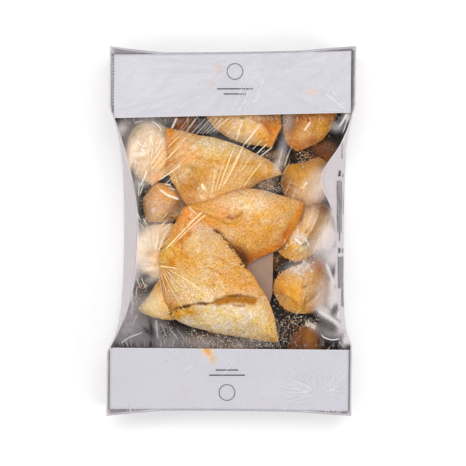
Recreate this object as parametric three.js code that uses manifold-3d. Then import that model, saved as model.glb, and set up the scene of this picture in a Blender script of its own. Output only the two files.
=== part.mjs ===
// Shrink-wrapped paperboard tray of samosas, millimetres, +Z up.
// Origin: middle of the footprint, on the surface the tray stands on.
//   carton            one folded-board tray: floor, two long side walls, two end
//                     panels, the two wide flaps folded in over the ends, and the
//                     four corner tabs of the side walls, glued outside the ends
//   film_and_samosas  the sealed contents as one solid, out to the stretched film:
//                     flat under the flaps, and in the window the film drawn tight
//                     over the samosas that stand highest
import * as THREE from 'three';
import { mergeVertices } from 'three/addons/utils/BufferGeometryUtils.js';
import Module from 'manifold-3d';

const wasm = await Module();
wasm.setup();

// ---------------------------------------------------------------- dimensions
const BOARD = 0.8;              // board thickness
const WALL_H = 50.6;            // height of a side wall, measured along the board
const FLAP_Z = 51.0;            // outer face of the folded flaps
const TOP_END = 123.4;          // y of the corners at the top end
const BOTTOM_END = -123.4;      // y of the corners at the bottom end
const LEFT_TOP = -81.0;         // x of the left wall at the top end
const LEFT_BOTTOM = -83.4;      // x of the left wall at the bottom end
const RIGHT_TOP = 83.4;         // x of the right wall at the top end
const RIGHT_BOTTOM = 79.9;      // x of the right wall at the bottom end
const END_BOW = 0.9;            // how far the middle of an end panel is drawn in
const TAB_LENGTH = 37;          // corner tab, along the end
const TAB_H = 48.5;             // corner tab height
const GAP = 0.6;                // clearance between contents and board
const JOIN = BOARD * 0.4;       // how deep one panel's edge is set into the next at a fold

// the flaps: y of the folded edge (fold) and of the free edge (free), at the left
// and at the right side of the tray, and how far the flap stops short of the inner
// face of each side wall (inL, inR)
const FLAPS = {
  top:    { foldL: 118.6, foldR: 121.0, freeL: 75.5, freeR: 79.2, inL: 1.9, inR: 2.2 },
  bottom: { foldL: -119.6, foldR: -121.2, freeL: -78.1, freeR: -79.6, inL: 1.1, inR: 1.2 },
};

// how the shrinking film draws each side wall in between the flaps: the top edge
// leans in by `lean` at y = `at`, dying out over `up` towards the top end and over
// `down` towards the bottom end; the fold at the floor comes in by `waist`. The
// right wall's top edge is also buckled in by `dent` at y = `dentAt`.
const WALLS = {
  left:  { sign: -1, lean: 19.5, at: 0, up: 82, down: 80, powUp: 1.7, powDown: 2.45, waist: 7.2, dent: 0, dentAt: 0 },
  right: { sign: 1, lean: 11.2, at: 0, up: 83, down: 76, powUp: 2.2, powDown: 4.0, waist: 3.0, dent: 12.0, dentAt: 36 },
};
const DENT_WIDTH = 18;          // half-length of the buckle in the right wall
const FOOT_SPREAD = 0.5;        // below 1 the fold at the floor is drawn in over a longer stretch than the top edge
const WALL_BOW = 1.9;           // outward bow of the board half-way up a leaning wall

// samosas: corners [x, y, z] at the level of the crust's rim, and how far the
// filling domes above the rim
const SAMOSAS = {
  top_left:  { rim: [[-44.0, 70.0, 43], [34.9, 38.5, 40], [-28.5, 14.9, 43]], rise: 12 },
  mid_right: { rim: [[-30.4, 16.1, 48], [10, 27, 45], [49.7, 18.9, 41], [32.2, -17.5, 39], [10.6, -25.0, 38]], rise: 12 },
  low_left:  { rim: [[-29.2, 16.9, 44], [6, -15, 42], [32.2, -76.2, 40], [-40.8, -58.7, 40], [-50.0, -20.8, 44]], rise: 12 },
  left_1:    { rim: [[-73.5, 56.3, 35], [-66.0, 72.6, 35], [-42.9, 72.5, 37], [-37.5, 48.1, 37], [-54.5, 30.6, 36]], rise: 13 },
  left_2:    { rim: [[-55.9, 34.0, 34], [-43.0, 34.0, 35], [-28.1, 16.3, 35], [-39.0, 4.8, 34], [-58.6, 6.2, 34]], rise: 12 },
  left_3:    { rim: [[-60.7, 3.5, 33], [-33.5, 6.2, 35], [-36.2, -21.0, 35], [-53.9, -23.7, 34], [-63.1, -12.9, 33]], rise: 12 },
  left_4:    { rim: [[-64.9, -53.0, 32], [-45.1, -30.5, 33], [-28.1, -61.8, 33]], rise: 8 },
  top_mid:   { rim: [[-22.7, 89.2, 32], [26.2, 89.1, 33], [35.0, 71.3, 35], [27.6, 57.1, 34], [2, 60, 33]], rise: 10 },
  right_1:   { rim: [[38.4, 88.9, 35], [73.6, 83.4, 36], [64.2, 63.1, 35], [48.0, 53.7, 33], [35.8, 60.5, 33]], rise: 11 },
  right_2:   { rim: [[33.7, 34.7, 34], [45.2, 46.9, 34], [61.6, 45.5, 34], [66.7, 27.9, 34], [48.6, 15.0, 34]], rise: 12 },
  right_3:   { rim: [[50.7, 15.7, 33], [66.0, 19.1, 33], [66.4, 2.1, 33], [56.1, -18.3, 33], [37.1, -21.7, 33], [31.7, -10.1, 33]], rise: 11 },
  right_4:   { rim: [[28.9, -40.0, 34], [39.8, -24.4, 34], [58.7, -16.9, 35], [68.7, -41.4, 34], [61.5, -55.6, 34], [39.8, -57.0, 34]], rise: 13 },
  right_5:   { rim: [[33.8, -81.1, 29], [46.8, -66.1, 29], [63.8, -62.0, 29], [72.1, -79.7, 29], [68.6, -100, 29], [38.6, -100, 29]], rise: 11 },
};

// ---------------------------------------------------------------- outline
const lerp = (a, b, t) => a + (b - a) * t;
const clamp = (v, a, b) => Math.min(b, Math.max(a, v));
const ease = (t) => { const c = clamp(t, 0, 1); return c * c * (3 - 2 * c); };
const fromTop = (y) => (TOP_END - y) / (TOP_END - BOTTOM_END);   // 0 top end, 1 bottom end

const wallLine = (side, y) => (side.sign < 0
  ? lerp(LEFT_TOP, LEFT_BOTTOM, fromTop(y)) : lerp(RIGHT_TOP, RIGHT_BOTTOM, fromTop(y)));

// 1 where the wall is drawn in most, 0 where it stands straight
function draw(side, y) {
  const t = y > side.at ? (y - side.at) / side.up : (side.at - y) / side.down;
  return t >= 1 ? 0 : 1 - Math.pow(t, y > side.at ? side.powUp : side.powDown);
}
// outer face of a side wall at height share v, 0 at the floor and 1 at the top edge
function wallPoint(side, y, v) {
  const pull = draw(side, y);
  const foot = side.waist * Math.pow(pull, FOOT_SPREAD);
  const buckle = side.dent * Math.exp(-(((y - side.dentAt) / DENT_WIDTH) ** 2)) * ease(pull / 0.25);
  const lean = side.lean * pull + buckle;
  const z = Math.sqrt(WALL_H * WALL_H - (lean - foot) ** 2);
  const inward = lerp(foot, lean, v) - WALL_BOW * Math.sqrt(pull) * Math.sin(Math.PI * v);
  return new THREE.Vector3(wallLine(side, y) - side.sign * inward, y, z * v);
}
// x of that face at a height in millimetres
function wallX(side, y, z) {
  const top = wallPoint(side, y, 1);
  return wallPoint(side, y, clamp(z / top.z, 0, 1)).x;
}
const wallTop = (side, y) => wallPoint(side, y, 1).z;

// y of an end panel's outer face and of a flap's two edges, across the tray
const across = (x) => (x - LEFT_TOP) / (RIGHT_TOP - LEFT_TOP);
function foldY(flap, x) {
  const s = clamp(across(x), 0, 1);
  const dir = flap.foldL > 0 ? 1 : -1;
  return lerp(flap.foldL, flap.foldR, s) - dir * END_BOW * Math.sin(Math.PI * s);
}
const freeY = (flap, x) => lerp(flap.freeL, flap.freeR, across(x));

// ---------------------------------------------------------------- solids
// closed solid between an outer and an inner face, both given over (u, v) in 0..1
function between(outer, inner, nu, nv) {
  const pos = [];
  const idx = [];
  for (const f of [outer, inner]) {
    for (let i = 0; i <= nu; i++) for (let j = 0; j <= nv; j++) {
      const p = f(i / nu, j / nv);
      pos.push(p.x, p.y, p.z);
    }
  }
  const N = (nu + 1) * (nv + 1);
  const o = (i, j) => i * (nv + 1) + j;
  const n = (i, j) => N + o(i, j);
  const quad = (a, b, c, d) => idx.push(a, b, c, a, c, d);
  for (let i = 0; i < nu; i++) for (let j = 0; j < nv; j++) {
    quad(o(i, j), o(i + 1, j), o(i + 1, j + 1), o(i, j + 1));
    quad(n(i, j), n(i, j + 1), n(i + 1, j + 1), n(i + 1, j));
  }
  for (let i = 0; i < nu; i++) {
    quad(o(i, 0), n(i, 0), n(i + 1, 0), o(i + 1, 0));
    quad(o(i, nv), o(i + 1, nv), n(i + 1, nv), n(i, nv));
  }
  for (let j = 0; j < nv; j++) {
    quad(o(0, j), o(0, j + 1), n(0, j + 1), n(0, j));
    quad(o(nu, j), n(nu, j), n(nu, j + 1), o(nu, j + 1));
  }
  return outward(pos, idx);
}

function outward(pos, idx) {
  let vol = 0;
  const v = (i) => new THREE.Vector3(pos[3 * i], pos[3 * i + 1], pos[3 * i + 2]);
  for (let t = 0; t < idx.length; t += 3) vol += v(idx[t]).dot(v(idx[t + 1]).cross(v(idx[t + 2])));
  if (vol < 0) for (let t = 0; t < idx.length; t += 3) [idx[t + 1], idx[t + 2]] = [idx[t + 2], idx[t + 1]];
  const g = new THREE.BufferGeometry();
  g.setAttribute('position', new THREE.Float32BufferAttribute(pos, 3));
  g.setIndex(idx);
  return g;
}

function solid(geometry) {
  const g = geometry.clone();
  g.deleteAttribute('normal');
  g.deleteAttribute('uv');
  const m = mergeVertices(g, 1e-4);
  return new wasm.Manifold(new wasm.Mesh({
    numProp: 3,
    vertProperties: new Float32Array(m.attributes.position.array),
    triVerts: new Uint32Array(m.index.array),
  }));
}
function geometryOf(manifold) {
  const m = manifold.getMesh();
  const g = new THREE.BufferGeometry();
  g.setAttribute('position', new THREE.BufferAttribute(new Float32Array(m.vertProperties), 3));
  g.setIndex(Array.from(m.triVerts));
  return g;
}

// ---------------------------------------------------------------- the carton
const WALL_STEPS = 64;          // stations along a side wall
const wallY = (u) => lerp(BOTTOM_END + BOARD / 3, TOP_END - BOARD / 3, u);

function sideWall(side) {
  const face = (depth) => (u, v) => {
    const y = wallY(u);
    const p = wallPoint(side, y, v);
    p.x -= side.sign * depth;
    p.z = Math.max(p.z, JOIN);
    return p;
  };
  return solid(between(face(0), face(BOARD), WALL_STEPS, 3));
}

function floor() {
  const edge = (z) => (u, v) => {
    const y = lerp(foldY(FLAPS.bottom, 0) + JOIN, foldY(FLAPS.top, 0) - JOIN, u);
    const l = wallPoint(WALLS.left, y, 0).x + JOIN;
    const r = wallPoint(WALLS.right, y, 0).x - JOIN;
    const x = lerp(l, r, v);
    return new THREE.Vector3(x, lerp(foldY(FLAPS.bottom, x) + JOIN, foldY(FLAPS.top, x) - JOIN, u), z);
  };
  return solid(between(edge(0), edge(BOARD), 36, 5));
}

// an end panel with its flap: up from the floor, a tight bend, then in over the contents
function endPanel(flap) {
  const dir = flap.foldL > 0 ? 1 : -1;
  const cornerX = (s, y) => lerp(wallX(WALLS.left, y, 25) + BOARD + flap.inL, wallX(WALLS.right, y, 25) - BOARD - flap.inR, s);
  const R = 1.6;                // bend radius of the fold, outer face
  const face = (depth) => (u, v) => {
    // u runs up the panel, round the bend and in along the flap; v across the tray
    const x0 = cornerX(v, dir > 0 ? 110 : -110);
    const yo = foldY(flap, x0);
    if (u <= 0.25) return new THREE.Vector3(x0, yo - dir * depth, lerp(JOIN, FLAP_Z - R, u / 0.25));
    if (u <= 0.5) {
      const a = ((u - 0.25) / 0.25) * Math.PI / 2;
      const r = R - depth;
      return new THREE.Vector3(x0, yo - dir * (R - r * Math.cos(a)), FLAP_Z - R + r * Math.sin(a));
    }
    const t = (u - 0.5) / 0.5;
    const xf = lerp(x0, cornerX(v, dir > 0 ? 84 : -84), t);
    return new THREE.Vector3(xf, lerp(yo - dir * R, freeY(flap, xf), t), FLAP_Z - depth);
  };
  return solid(between(face(0), face(BOARD), 12, 14));
}

// corner tab: the end of a side wall folded round the corner and lying outside the
// end panel, springing off it at the corner and glued to it at its far edge
function cornerTab(side, flap) {
  const dir = flap.foldL > 0 ? 1 : -1;
  const yc = dir > 0 ? TOP_END : BOTTOM_END;
  const xc = wallLine(side, yc);
  const face = (depth) => (u, v) => {
    const x = xc - side.sign * (BOARD / 4 + TAB_LENGTH * u);
    const glued = foldY(flap, x) + dir * (BOARD * 0.45);
    const y = lerp(yc, glued, Math.pow(u, 0.8));
    return new THREE.Vector3(x, y - dir * depth, lerp(JOIN * 1.6, lerp(WALL_H - 0.3, TAB_H, u), v));
  };
  return solid(between(face(0), face(BOARD), 8, 2));
}

let carton = floor();
for (const side of Object.values(WALLS)) {
  carton = carton.add(sideWall(side));
  for (const flap of Object.values(FLAPS)) carton = carton.add(cornerTab(side, flap));
}
for (const flap of Object.values(FLAPS)) carton = carton.add(endPanel(flap));

// ---------------------------------------------------------------- the contents
// height of the highest samosa over a point: inside the rim, a dome that rises
// from the rim's level to its crown within a few millimetres and then flattens
function domeOver(samosa, x, y) {
  const rim = samosa.rim;
  const n = rim.length;
  let inside = true;
  let near = Infinity;
  let area = 0;
  for (let i = 0; i < n; i++) {
    const a = rim[i], b = rim[(i + 1) % n];
    area += a[0] * b[1] - b[0] * a[1];
  }
  const turn = Math.sign(area);
  let reach = 0, level = 0, weight = 0;
  const cx = rim.reduce((s, p) => s + p[0], 0) / n;
  const cy = rim.reduce((s, p) => s + p[1], 0) / n;
  for (let i = 0; i < n; i++) {
    const a = rim[i], b = rim[(i + 1) % n];
    const ex = b[0] - a[0], ey = b[1] - a[1];
    const len = Math.hypot(ex, ey);
    const d = turn * (ex * (y - a[1]) - ey * (x - a[0])) / len;
    if (d < 0) inside = false;
    near = Math.min(near, d);
    const dc = turn * (ex * (cy - a[1]) - ey * (cx - a[0])) / len;
    reach = reach === 0 ? dc : Math.min(reach, dc);
    const w = 1 / (Math.hypot(x - a[0], y - a[1]) ** 2 + 4);
    level += w * a[2];
    weight += w;
  }
  if (!inside) return -Infinity;
  const t = clamp(near / reach, 0, 1);
  return level / weight + samosa.rise * Math.pow(1 - (1 - t) ** 2, 0.75);
}

// window grid, then the film relaxed over it like a stretched membrane that may
// not sink below a samosa
const NX = 35;                  // cells across
const NY = 42;                  // cells along the window
const SIDE_CLEAR = BOARD + GAP;
const UNDER_FLAP = FLAP_Z - BOARD - 0.5;
const FILM = 0.6;               // film and crust clearance over a samosa

function insideX(s, y, z) {
  const l = wallX(WALLS.left, y, z) + SIDE_CLEAR;
  const r = wallX(WALLS.right, y, z) - SIDE_CLEAR;
  return lerp(l, r, s);
}
const rows = [];                // y of each grid row, as a function of x
const END_CLEAR = BOARD + 1.4;
rows.push((x) => foldY(FLAPS.bottom, x) + END_CLEAR);
rows.push((x) => lerp(foldY(FLAPS.bottom, x) + END_CLEAR, freeY(FLAPS.bottom, x), 0.5));
for (let j = 0; j <= NY; j++) {
  rows.push((x) => lerp(freeY(FLAPS.bottom, x) + 0.8, freeY(FLAPS.top, x) - 0.8, j / NY));
}
rows.push((x) => lerp(foldY(FLAPS.top, x) - END_CLEAR, freeY(FLAPS.top, x), 0.5));
rows.push((x) => foldY(FLAPS.top, x) - END_CLEAR);

const grid = rows.map((row, j) => {
  const line = [];
  for (let i = 0; i <= NX; i++) {
    const s = i / NX;
    let x = lerp(-80, 80, s);
    let y = row(x);
    const window = j >= 2 && j <= NY + 2;
    let rimZ = UNDER_FLAP;
    if (window) {
      const l = wallTop(WALLS.left, y), r = wallTop(WALLS.right, y);
      rimZ = Math.min(lerp(l, r, s) - 0.2, UNDER_FLAP);
    }
    x = insideX(s, y, rimZ);
    y = row(x);
    line.push({ x, y, z: rimZ, s, fixed: !window || i === 0 || i === NX || j === 2 || j === NY + 2 });
  }
  return line;
});
for (const line of grid) for (const g of line) {
  if (g.fixed) continue;
  g.low = -Infinity;
  for (const samosa of Object.values(SAMOSAS)) g.low = Math.max(g.low, domeOver(samosa, g.x, g.y) + FILM);
  g.z = Math.max(g.z - 3, g.low);
}
for (let pass = 0; pass < 400; pass++) {
  for (let j = 3; j < NY + 2; j++) for (let i = 1; i < NX; i++) {
    const g = grid[j][i];
    const mean = (grid[j - 1][i].z + grid[j + 1][i].z + grid[j][i - 1].z + grid[j][i + 1].z) / 4;
    // the film is drawn down a little between the things that hold it up
    g.z = Math.max(mean - 0.035, g.low);
  }
}
function contents() {
  const pos = [], idx = [];
  const rowsN = grid.length, colsN = NX + 1;
  const at = (j, i) => j * colsN + i;
  for (const line of grid) for (const g of line) pos.push(g.x, g.y, g.z);
  for (let j = 0; j < rowsN - 1; j++) for (let i = 0; i < NX; i++) {
    idx.push(at(j, i), at(j, i + 1), at(j + 1, i + 1), at(j, i), at(j + 1, i + 1), at(j + 1, i));
  }
  // the rim of the top, once round counter-clockwise
  const ring = [];
  for (let i = 0; i < NX; i++) ring.push([0, i]);
  for (let j = 0; j < rowsN - 1; j++) ring.push([j, NX]);
  for (let i = NX; i > 0; i--) ring.push([rowsN - 1, i]);
  for (let j = rowsN - 1; j > 0; j--) ring.push([j, 0]);
  // sides: down to the floor in three steps that follow the leaning walls
  const levels = [0.66, 0.33, 0];
  let above = ring.map(([j, i]) => at(j, i));
  const bottomZ = BOARD + GAP;
  for (const level of levels) {
    const here = ring.map(([j, i]) => {
      const g = grid[j][i];
      const z = lerp(bottomZ, g.z, level);
      pos.push(insideX(g.s, g.y, z), g.y, z);
      return pos.length / 3 - 1;
    });
    for (let k = 0; k < ring.length; k++) {
      const k2 = (k + 1) % ring.length;
      idx.push(above[k], here[k], here[k2], above[k], here[k2], above[k2]);
    }
    above = here;
  }
  const outline = above.map((k) => new THREE.Vector2(pos[3 * k], pos[3 * k + 1]));
  for (const [a, b, c] of THREE.ShapeUtils.triangulateShape(outline, [])) idx.push(above[a], above[c], above[b]);
  return outward(pos, idx);
}

// ---------------------------------------------------------------- the group
function part(name, geometry, color, roughness) {
  geometry.computeVertexNormals();
  const mesh = new THREE.Mesh(geometry, new THREE.MeshStandardMaterial({ color, roughness, metalness: 0 }));
  mesh.name = name;
  return mesh;
}
const group = new THREE.Group();
group.add(part('carton', geometryOf(carton), 0xd8d7dd, 0.6));
group.add(part('film_and_samosas', contents(), 0xe2b878, 0.35));

export default group;
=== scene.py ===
import math
import bpy
import numpy as np
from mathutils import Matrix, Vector


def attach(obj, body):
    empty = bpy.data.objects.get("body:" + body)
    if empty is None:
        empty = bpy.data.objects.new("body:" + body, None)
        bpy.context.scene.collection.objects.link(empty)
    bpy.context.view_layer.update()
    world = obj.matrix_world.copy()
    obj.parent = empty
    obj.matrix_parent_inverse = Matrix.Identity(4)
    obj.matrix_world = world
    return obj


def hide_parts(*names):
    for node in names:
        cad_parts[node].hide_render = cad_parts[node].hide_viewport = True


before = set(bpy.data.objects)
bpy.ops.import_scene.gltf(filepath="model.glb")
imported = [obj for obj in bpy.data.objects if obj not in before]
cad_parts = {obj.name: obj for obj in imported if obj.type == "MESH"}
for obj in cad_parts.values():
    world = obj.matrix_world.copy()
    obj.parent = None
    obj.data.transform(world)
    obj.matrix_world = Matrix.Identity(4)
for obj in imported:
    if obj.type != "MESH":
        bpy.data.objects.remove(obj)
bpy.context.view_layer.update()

MM = 0.001

# ---------------------------------------------------------------- the view
EYE = 1100.0                    # camera height over the floor, mm
SPAN = 466 * 0.70115            # width of floor the frame takes in, mm
CX, CY = 1.1, -1.35             # what it looks straight down on


def px(u, v, z):
    """Point at height z (mm) that falls on a place of the frame."""
    s = 0.70115 * (EYE - z) / EYE
    return np.array([(u - 233) * s + CX, (233 - v) * s + CY, z], float)


def pxs(points, z):
    return np.array([px(p[0], p[1], z)[:2] for p in points], float)


# ---------------------------------------------------------------- the tray's lines
# the same sizes as the CAD model's
BOARD = 0.8
WALL_H = 50.6
FLAP_Z = 51.0
TOP_END, BOTTOM_END = 123.4, -123.4
LEFT_TOP, LEFT_BOTTOM, RIGHT_TOP, RIGHT_BOTTOM = -81.0, -83.4, 83.4, 79.9
END_BOW = 0.9
TAB_LENGTH = 37.0
WALL_BOW = 1.9
DENT_WIDTH = 18.0
FOOT_SPREAD = 0.5
FLAPS = {
    "top": dict(foldL=118.6, foldR=121.0, freeL=75.5, freeR=79.2, inL=1.9, inR=2.2),
    "bottom": dict(foldL=-119.6, foldR=-121.2, freeL=-78.1, freeR=-79.6, inL=1.1, inR=1.2),
}
WALLS = {
    "left": dict(sign=-1, lean=19.5, at=0, up=82, down=80, pu=1.7, pd=2.45, waist=7.2, dent=0.0, dent_at=0),
    "right": dict(sign=1, lean=11.2, at=0, up=83, down=76, pu=2.2, pd=4.0, waist=3.0, dent=12.0, dent_at=36),
}


def mix(a, b, t):
    return a + (b - a) * t


def smooth(a, b, x):
    t = np.clip((x - a) / (b - a), 0, 1)
    return t * t * (3 - 2 * t)


def wall_line(side, y):
    t = (TOP_END - y) / (TOP_END - BOTTOM_END)
    return mix(LEFT_TOP, LEFT_BOTTOM, t) if side["sign"] < 0 else mix(RIGHT_TOP, RIGHT_BOTTOM, t)


def wall_draw(side, y):
    y = np.asarray(y, float)
    over = y > side["at"]
    t = np.where(over, (y - side["at"]) / side["up"], (side["at"] - y) / side["down"])
    p = np.where(over, side["pu"], side["pd"])
    return np.where(t >= 1, 0.0, 1 - np.power(np.clip(t, 0, 1), p))


def wall_point(side, y, v):
    pull = wall_draw(side, y)
    foot = side["waist"] * np.power(pull, FOOT_SPREAD)
    lean = side["lean"] * pull + side["dent"] * np.exp(-((y - side["dent_at"]) / DENT_WIDTH) ** 2) * smooth(0, 0.25, pull)
    z = np.sqrt(WALL_H ** 2 - (lean - foot) ** 2)
    inward = mix(foot, lean, v) - WALL_BOW * np.sqrt(pull) * np.sin(math.pi * v)
    return wall_line(side, y) - side["sign"] * inward, z * v


def wall_x(side, y, z):
    top = wall_point(side, y, 1.0)[1]
    return wall_point(side, y, np.clip(z / top, 0, 1))[0]


def across(x):
    return (x - LEFT_TOP) / (RIGHT_TOP - LEFT_TOP)


def fold_y(flap, x):
    s = np.clip(across(x), 0, 1)
    d = 1 if flap["foldL"] > 0 else -1
    return mix(flap["foldL"], flap["foldR"], s) - d * END_BOW * np.sin(math.pi * s)


def free_y(flap, x):
    return mix(flap["freeL"], flap["freeR"], across(x))


def tab_y(flap, x):
    """Outer face of the corner tabs, and of the end panel between them."""
    d = 1 if flap["foldL"] > 0 else -1
    yc = TOP_END if d > 0 else BOTTOM_END
    near = np.minimum(x - wall_line(WALLS["left"], yc), wall_line(WALLS["right"], yc) - x)
    u = np.clip((near - BOARD / 4) / TAB_LENGTH, 0, 1)
    return mix(yc, fold_y(flap, x) + d * BOARD * 0.45, np.power(u, 0.8))


def inside_tray(verts):
    """Moves points (mm) that would stand in or outside the board back inside it."""
    x, y, z = verts.T.copy()
    z = np.maximum(z, BOARD + 0.3)
    x = np.clip(x, wall_x(WALLS["left"], y, z) + BOARD + 0.5, wall_x(WALLS["right"], y, z) - BOARD - 0.5)
    y = np.clip(y, fold_y(FLAPS["bottom"], x) + BOARD + 0.6, fold_y(FLAPS["top"], x) - BOARD - 0.6)
    covered = (y > free_y(FLAPS["top"], x) - 1.5) | (y < free_y(FLAPS["bottom"], x) + 1.5)
    z = np.where(covered, np.minimum(z, FLAP_Z - BOARD - 0.5), z)
    return np.stack([x, y, z], 1)


# ---------------------------------------------------------------- noise
def vnoise(p, scale, seed):
    """Smooth value noise in -1..1 over points p (n, 2 or 3), one lump per `scale`."""
    rng = np.random.default_rng(seed)
    n = 32
    p = np.asarray(p, float)
    k = p.shape[1]
    lattice = rng.uniform(-1, 1, (n,) * k)
    q = p / scale + rng.uniform(0, n, k)
    i = np.floor(q).astype(int)
    f = q - i
    f = f * f * (3 - 2 * f)
    out = np.zeros(len(p))
    for corner in range(2 ** k):
        w = np.ones(len(p))
        idx = []
        for a in range(k):
            bit = (corner >> a) & 1
            w = w * (f[:, a] if bit else 1 - f[:, a])
            idx.append((i[:, a] + bit) % n)
        out += w * lattice[tuple(idx)]
    return out


def fbm(p, scale, seed, octaves=3):
    out = np.zeros(len(p))
    amp = 1.0
    for o in range(octaves):
        out += amp * vnoise(p, scale / 2 ** o, seed + 17 * o)
        amp *= 0.5
    return out / 1.75


# ---------------------------------------------------------------- colours
def lin(rgb):
    c = np.array(rgb, float) / 255.0
    return np.where(c <= 0.04045, c / 12.92, ((c + 0.055) / 1.055) ** 2.4)


PALE = lin((242, 218, 176))
CREAM = lin((236, 199, 144))
GOLD = lin((230, 166, 44))
ORANGE = lin((240, 148, 14))
RUST = lin((188, 98, 22))
BROWN = lin((112, 56, 18))
DARK = lin((42, 25, 16))
SNOW = lin((236, 230, 224))


# ---------------------------------------------------------------- meshes
def mesh_object(name, verts, faces, colours=None, attrs=None, shade=True):
    """verts in mm."""
    me = bpy.data.meshes.new(name)
    verts = np.asarray(verts, float) * MM
    faces = np.asarray(faces, int)
    me.vertices.add(len(verts))
    me.vertices.foreach_set("co", verts.ravel())
    k = faces.shape[1]
    me.loops.add(len(faces) * k)
    me.loops.foreach_set("vertex_index", faces.ravel())
    me.polygons.add(len(faces))
    me.polygons.foreach_set("loop_start", np.arange(0, len(faces) * k, k))
    me.polygons.foreach_set("loop_total", np.full(len(faces), k))
    me.update(calc_edges=True)
    me.validate()
    if shade:
        me.polygons.foreach_set("use_smooth", np.ones(len(me.polygons), bool))
    if colours is not None:
        a = me.color_attributes.new(name="tone", type="FLOAT_COLOR", domain="POINT")
        rgba = np.ones((len(verts), 4))
        rgba[:, :3] = np.clip(colours, 0, 1)
        a.data.foreach_set("color", rgba.ravel())
    for key, values in (attrs or {}).items():
        a = me.attributes.new(name=key, type="FLOAT", domain="POINT")
        a.data.foreach_set("value", np.asarray(values, float))
    ob = bpy.data.objects.new(name, me)
    bpy.context.scene.collection.objects.link(ob)
    return ob


def grid_faces(rows, cols, wrap=False, flip=False):
    i = np.arange(rows - 1)[:, None]
    j = np.arange(cols if wrap else cols - 1)[None, :]
    a = i * cols + j
    b = i * cols + (j + 1) % cols
    c = (i + 1) * cols + (j + 1) % cols
    d = (i + 1) * cols + j
    q = np.stack([a, b, c, d], -1).reshape(-1, 4)
    return q[:, ::-1] if flip else q


# ---------------------------------------------------------------- node materials
class Nodes:
    def __init__(self, name):
        self.mat = bpy.data.materials.new(name)
        self.mat.use_nodes = True
        self.nt = self.mat.node_tree
        self.nt.nodes.clear()
        self.out = self.nt.nodes.new("ShaderNodeOutputMaterial")

    def new(self, kind, **values):
        n = self.nt.nodes.new(kind)
        for k, v in values.items():
            if k.startswith("_"):
                setattr(n, k[1:], v)
            else:
                n.inputs[k.replace("__", " ")].default_value = v
        return n

    def link(self, a, b):
        self.nt.links.new(a, b)

    def noise(self, scale, detail=3.0, rough=0.55, vector=None, distortion=0.0):
        n = self.new("ShaderNodeTexNoise", Scale=scale, Detail=detail, Roughness=rough, Distortion=distortion)
        self.link(vector or self.coord(), n.inputs["Vector"])
        return n.outputs["Fac"]

    def coord(self):
        if not hasattr(self, "_coord"):
            self._coord = self.new("ShaderNodeTexCoord").outputs["Object"]
        return self._coord

    def ramp(self, fac, stops):
        r = self.new("ShaderNodeValToRGB")
        el = r.color_ramp.elements
        while len(el) < len(stops):
            el.new(0.5)
        for e, (pos, col) in zip(el, stops):
            e.position = pos
            e.color = (*col, 1) if len(col) == 3 else col
        self.link(fac, r.inputs["Fac"])
        return r.outputs["Color"]

    def math(self, op, a, b=None, c=None, clamp=False):
        n = self.nt.nodes.new("ShaderNodeMath")
        n.operation = op
        n.use_clamp = clamp
        for i, v in enumerate((a, b, c)):
            if v is None:
                continue
            if isinstance(v, (int, float)):
                n.inputs[i].default_value = v
            else:
                self.link(v, n.inputs[i])
        return n.outputs[0]

    def mixc(self, fac, a, b, blend="MIX"):
        n = self.nt.nodes.new("ShaderNodeMix")
        n.data_type = "RGBA"
        n.blend_type = blend
        for sock, v in ((n.inputs[0], fac), (n.inputs[6], a), (n.inputs[7], b)):
            if isinstance(v, (int, float)):
                sock.default_value = v
            elif isinstance(v, (tuple, list, np.ndarray)):
                sock.default_value = (*[float(x) for x in v], 1) if len(v) == 3 else v
            else:
                self.link(v, sock)
        return n.outputs[2]

    def attr(self, name, vector=False):
        n = self.nt.nodes.new("ShaderNodeAttribute")
        n.attribute_name = name
        return n.outputs["Color" if vector else "Fac"]

    def bump(self, height, strength, distance, normal=None):
        n = self.new("ShaderNodeBump", Strength=strength, Distance=distance)
        self.link(height, n.inputs["Height"])
        if normal is not None:
            self.link(normal, n.inputs["Normal"])
        return n.outputs["Normal"]


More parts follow.
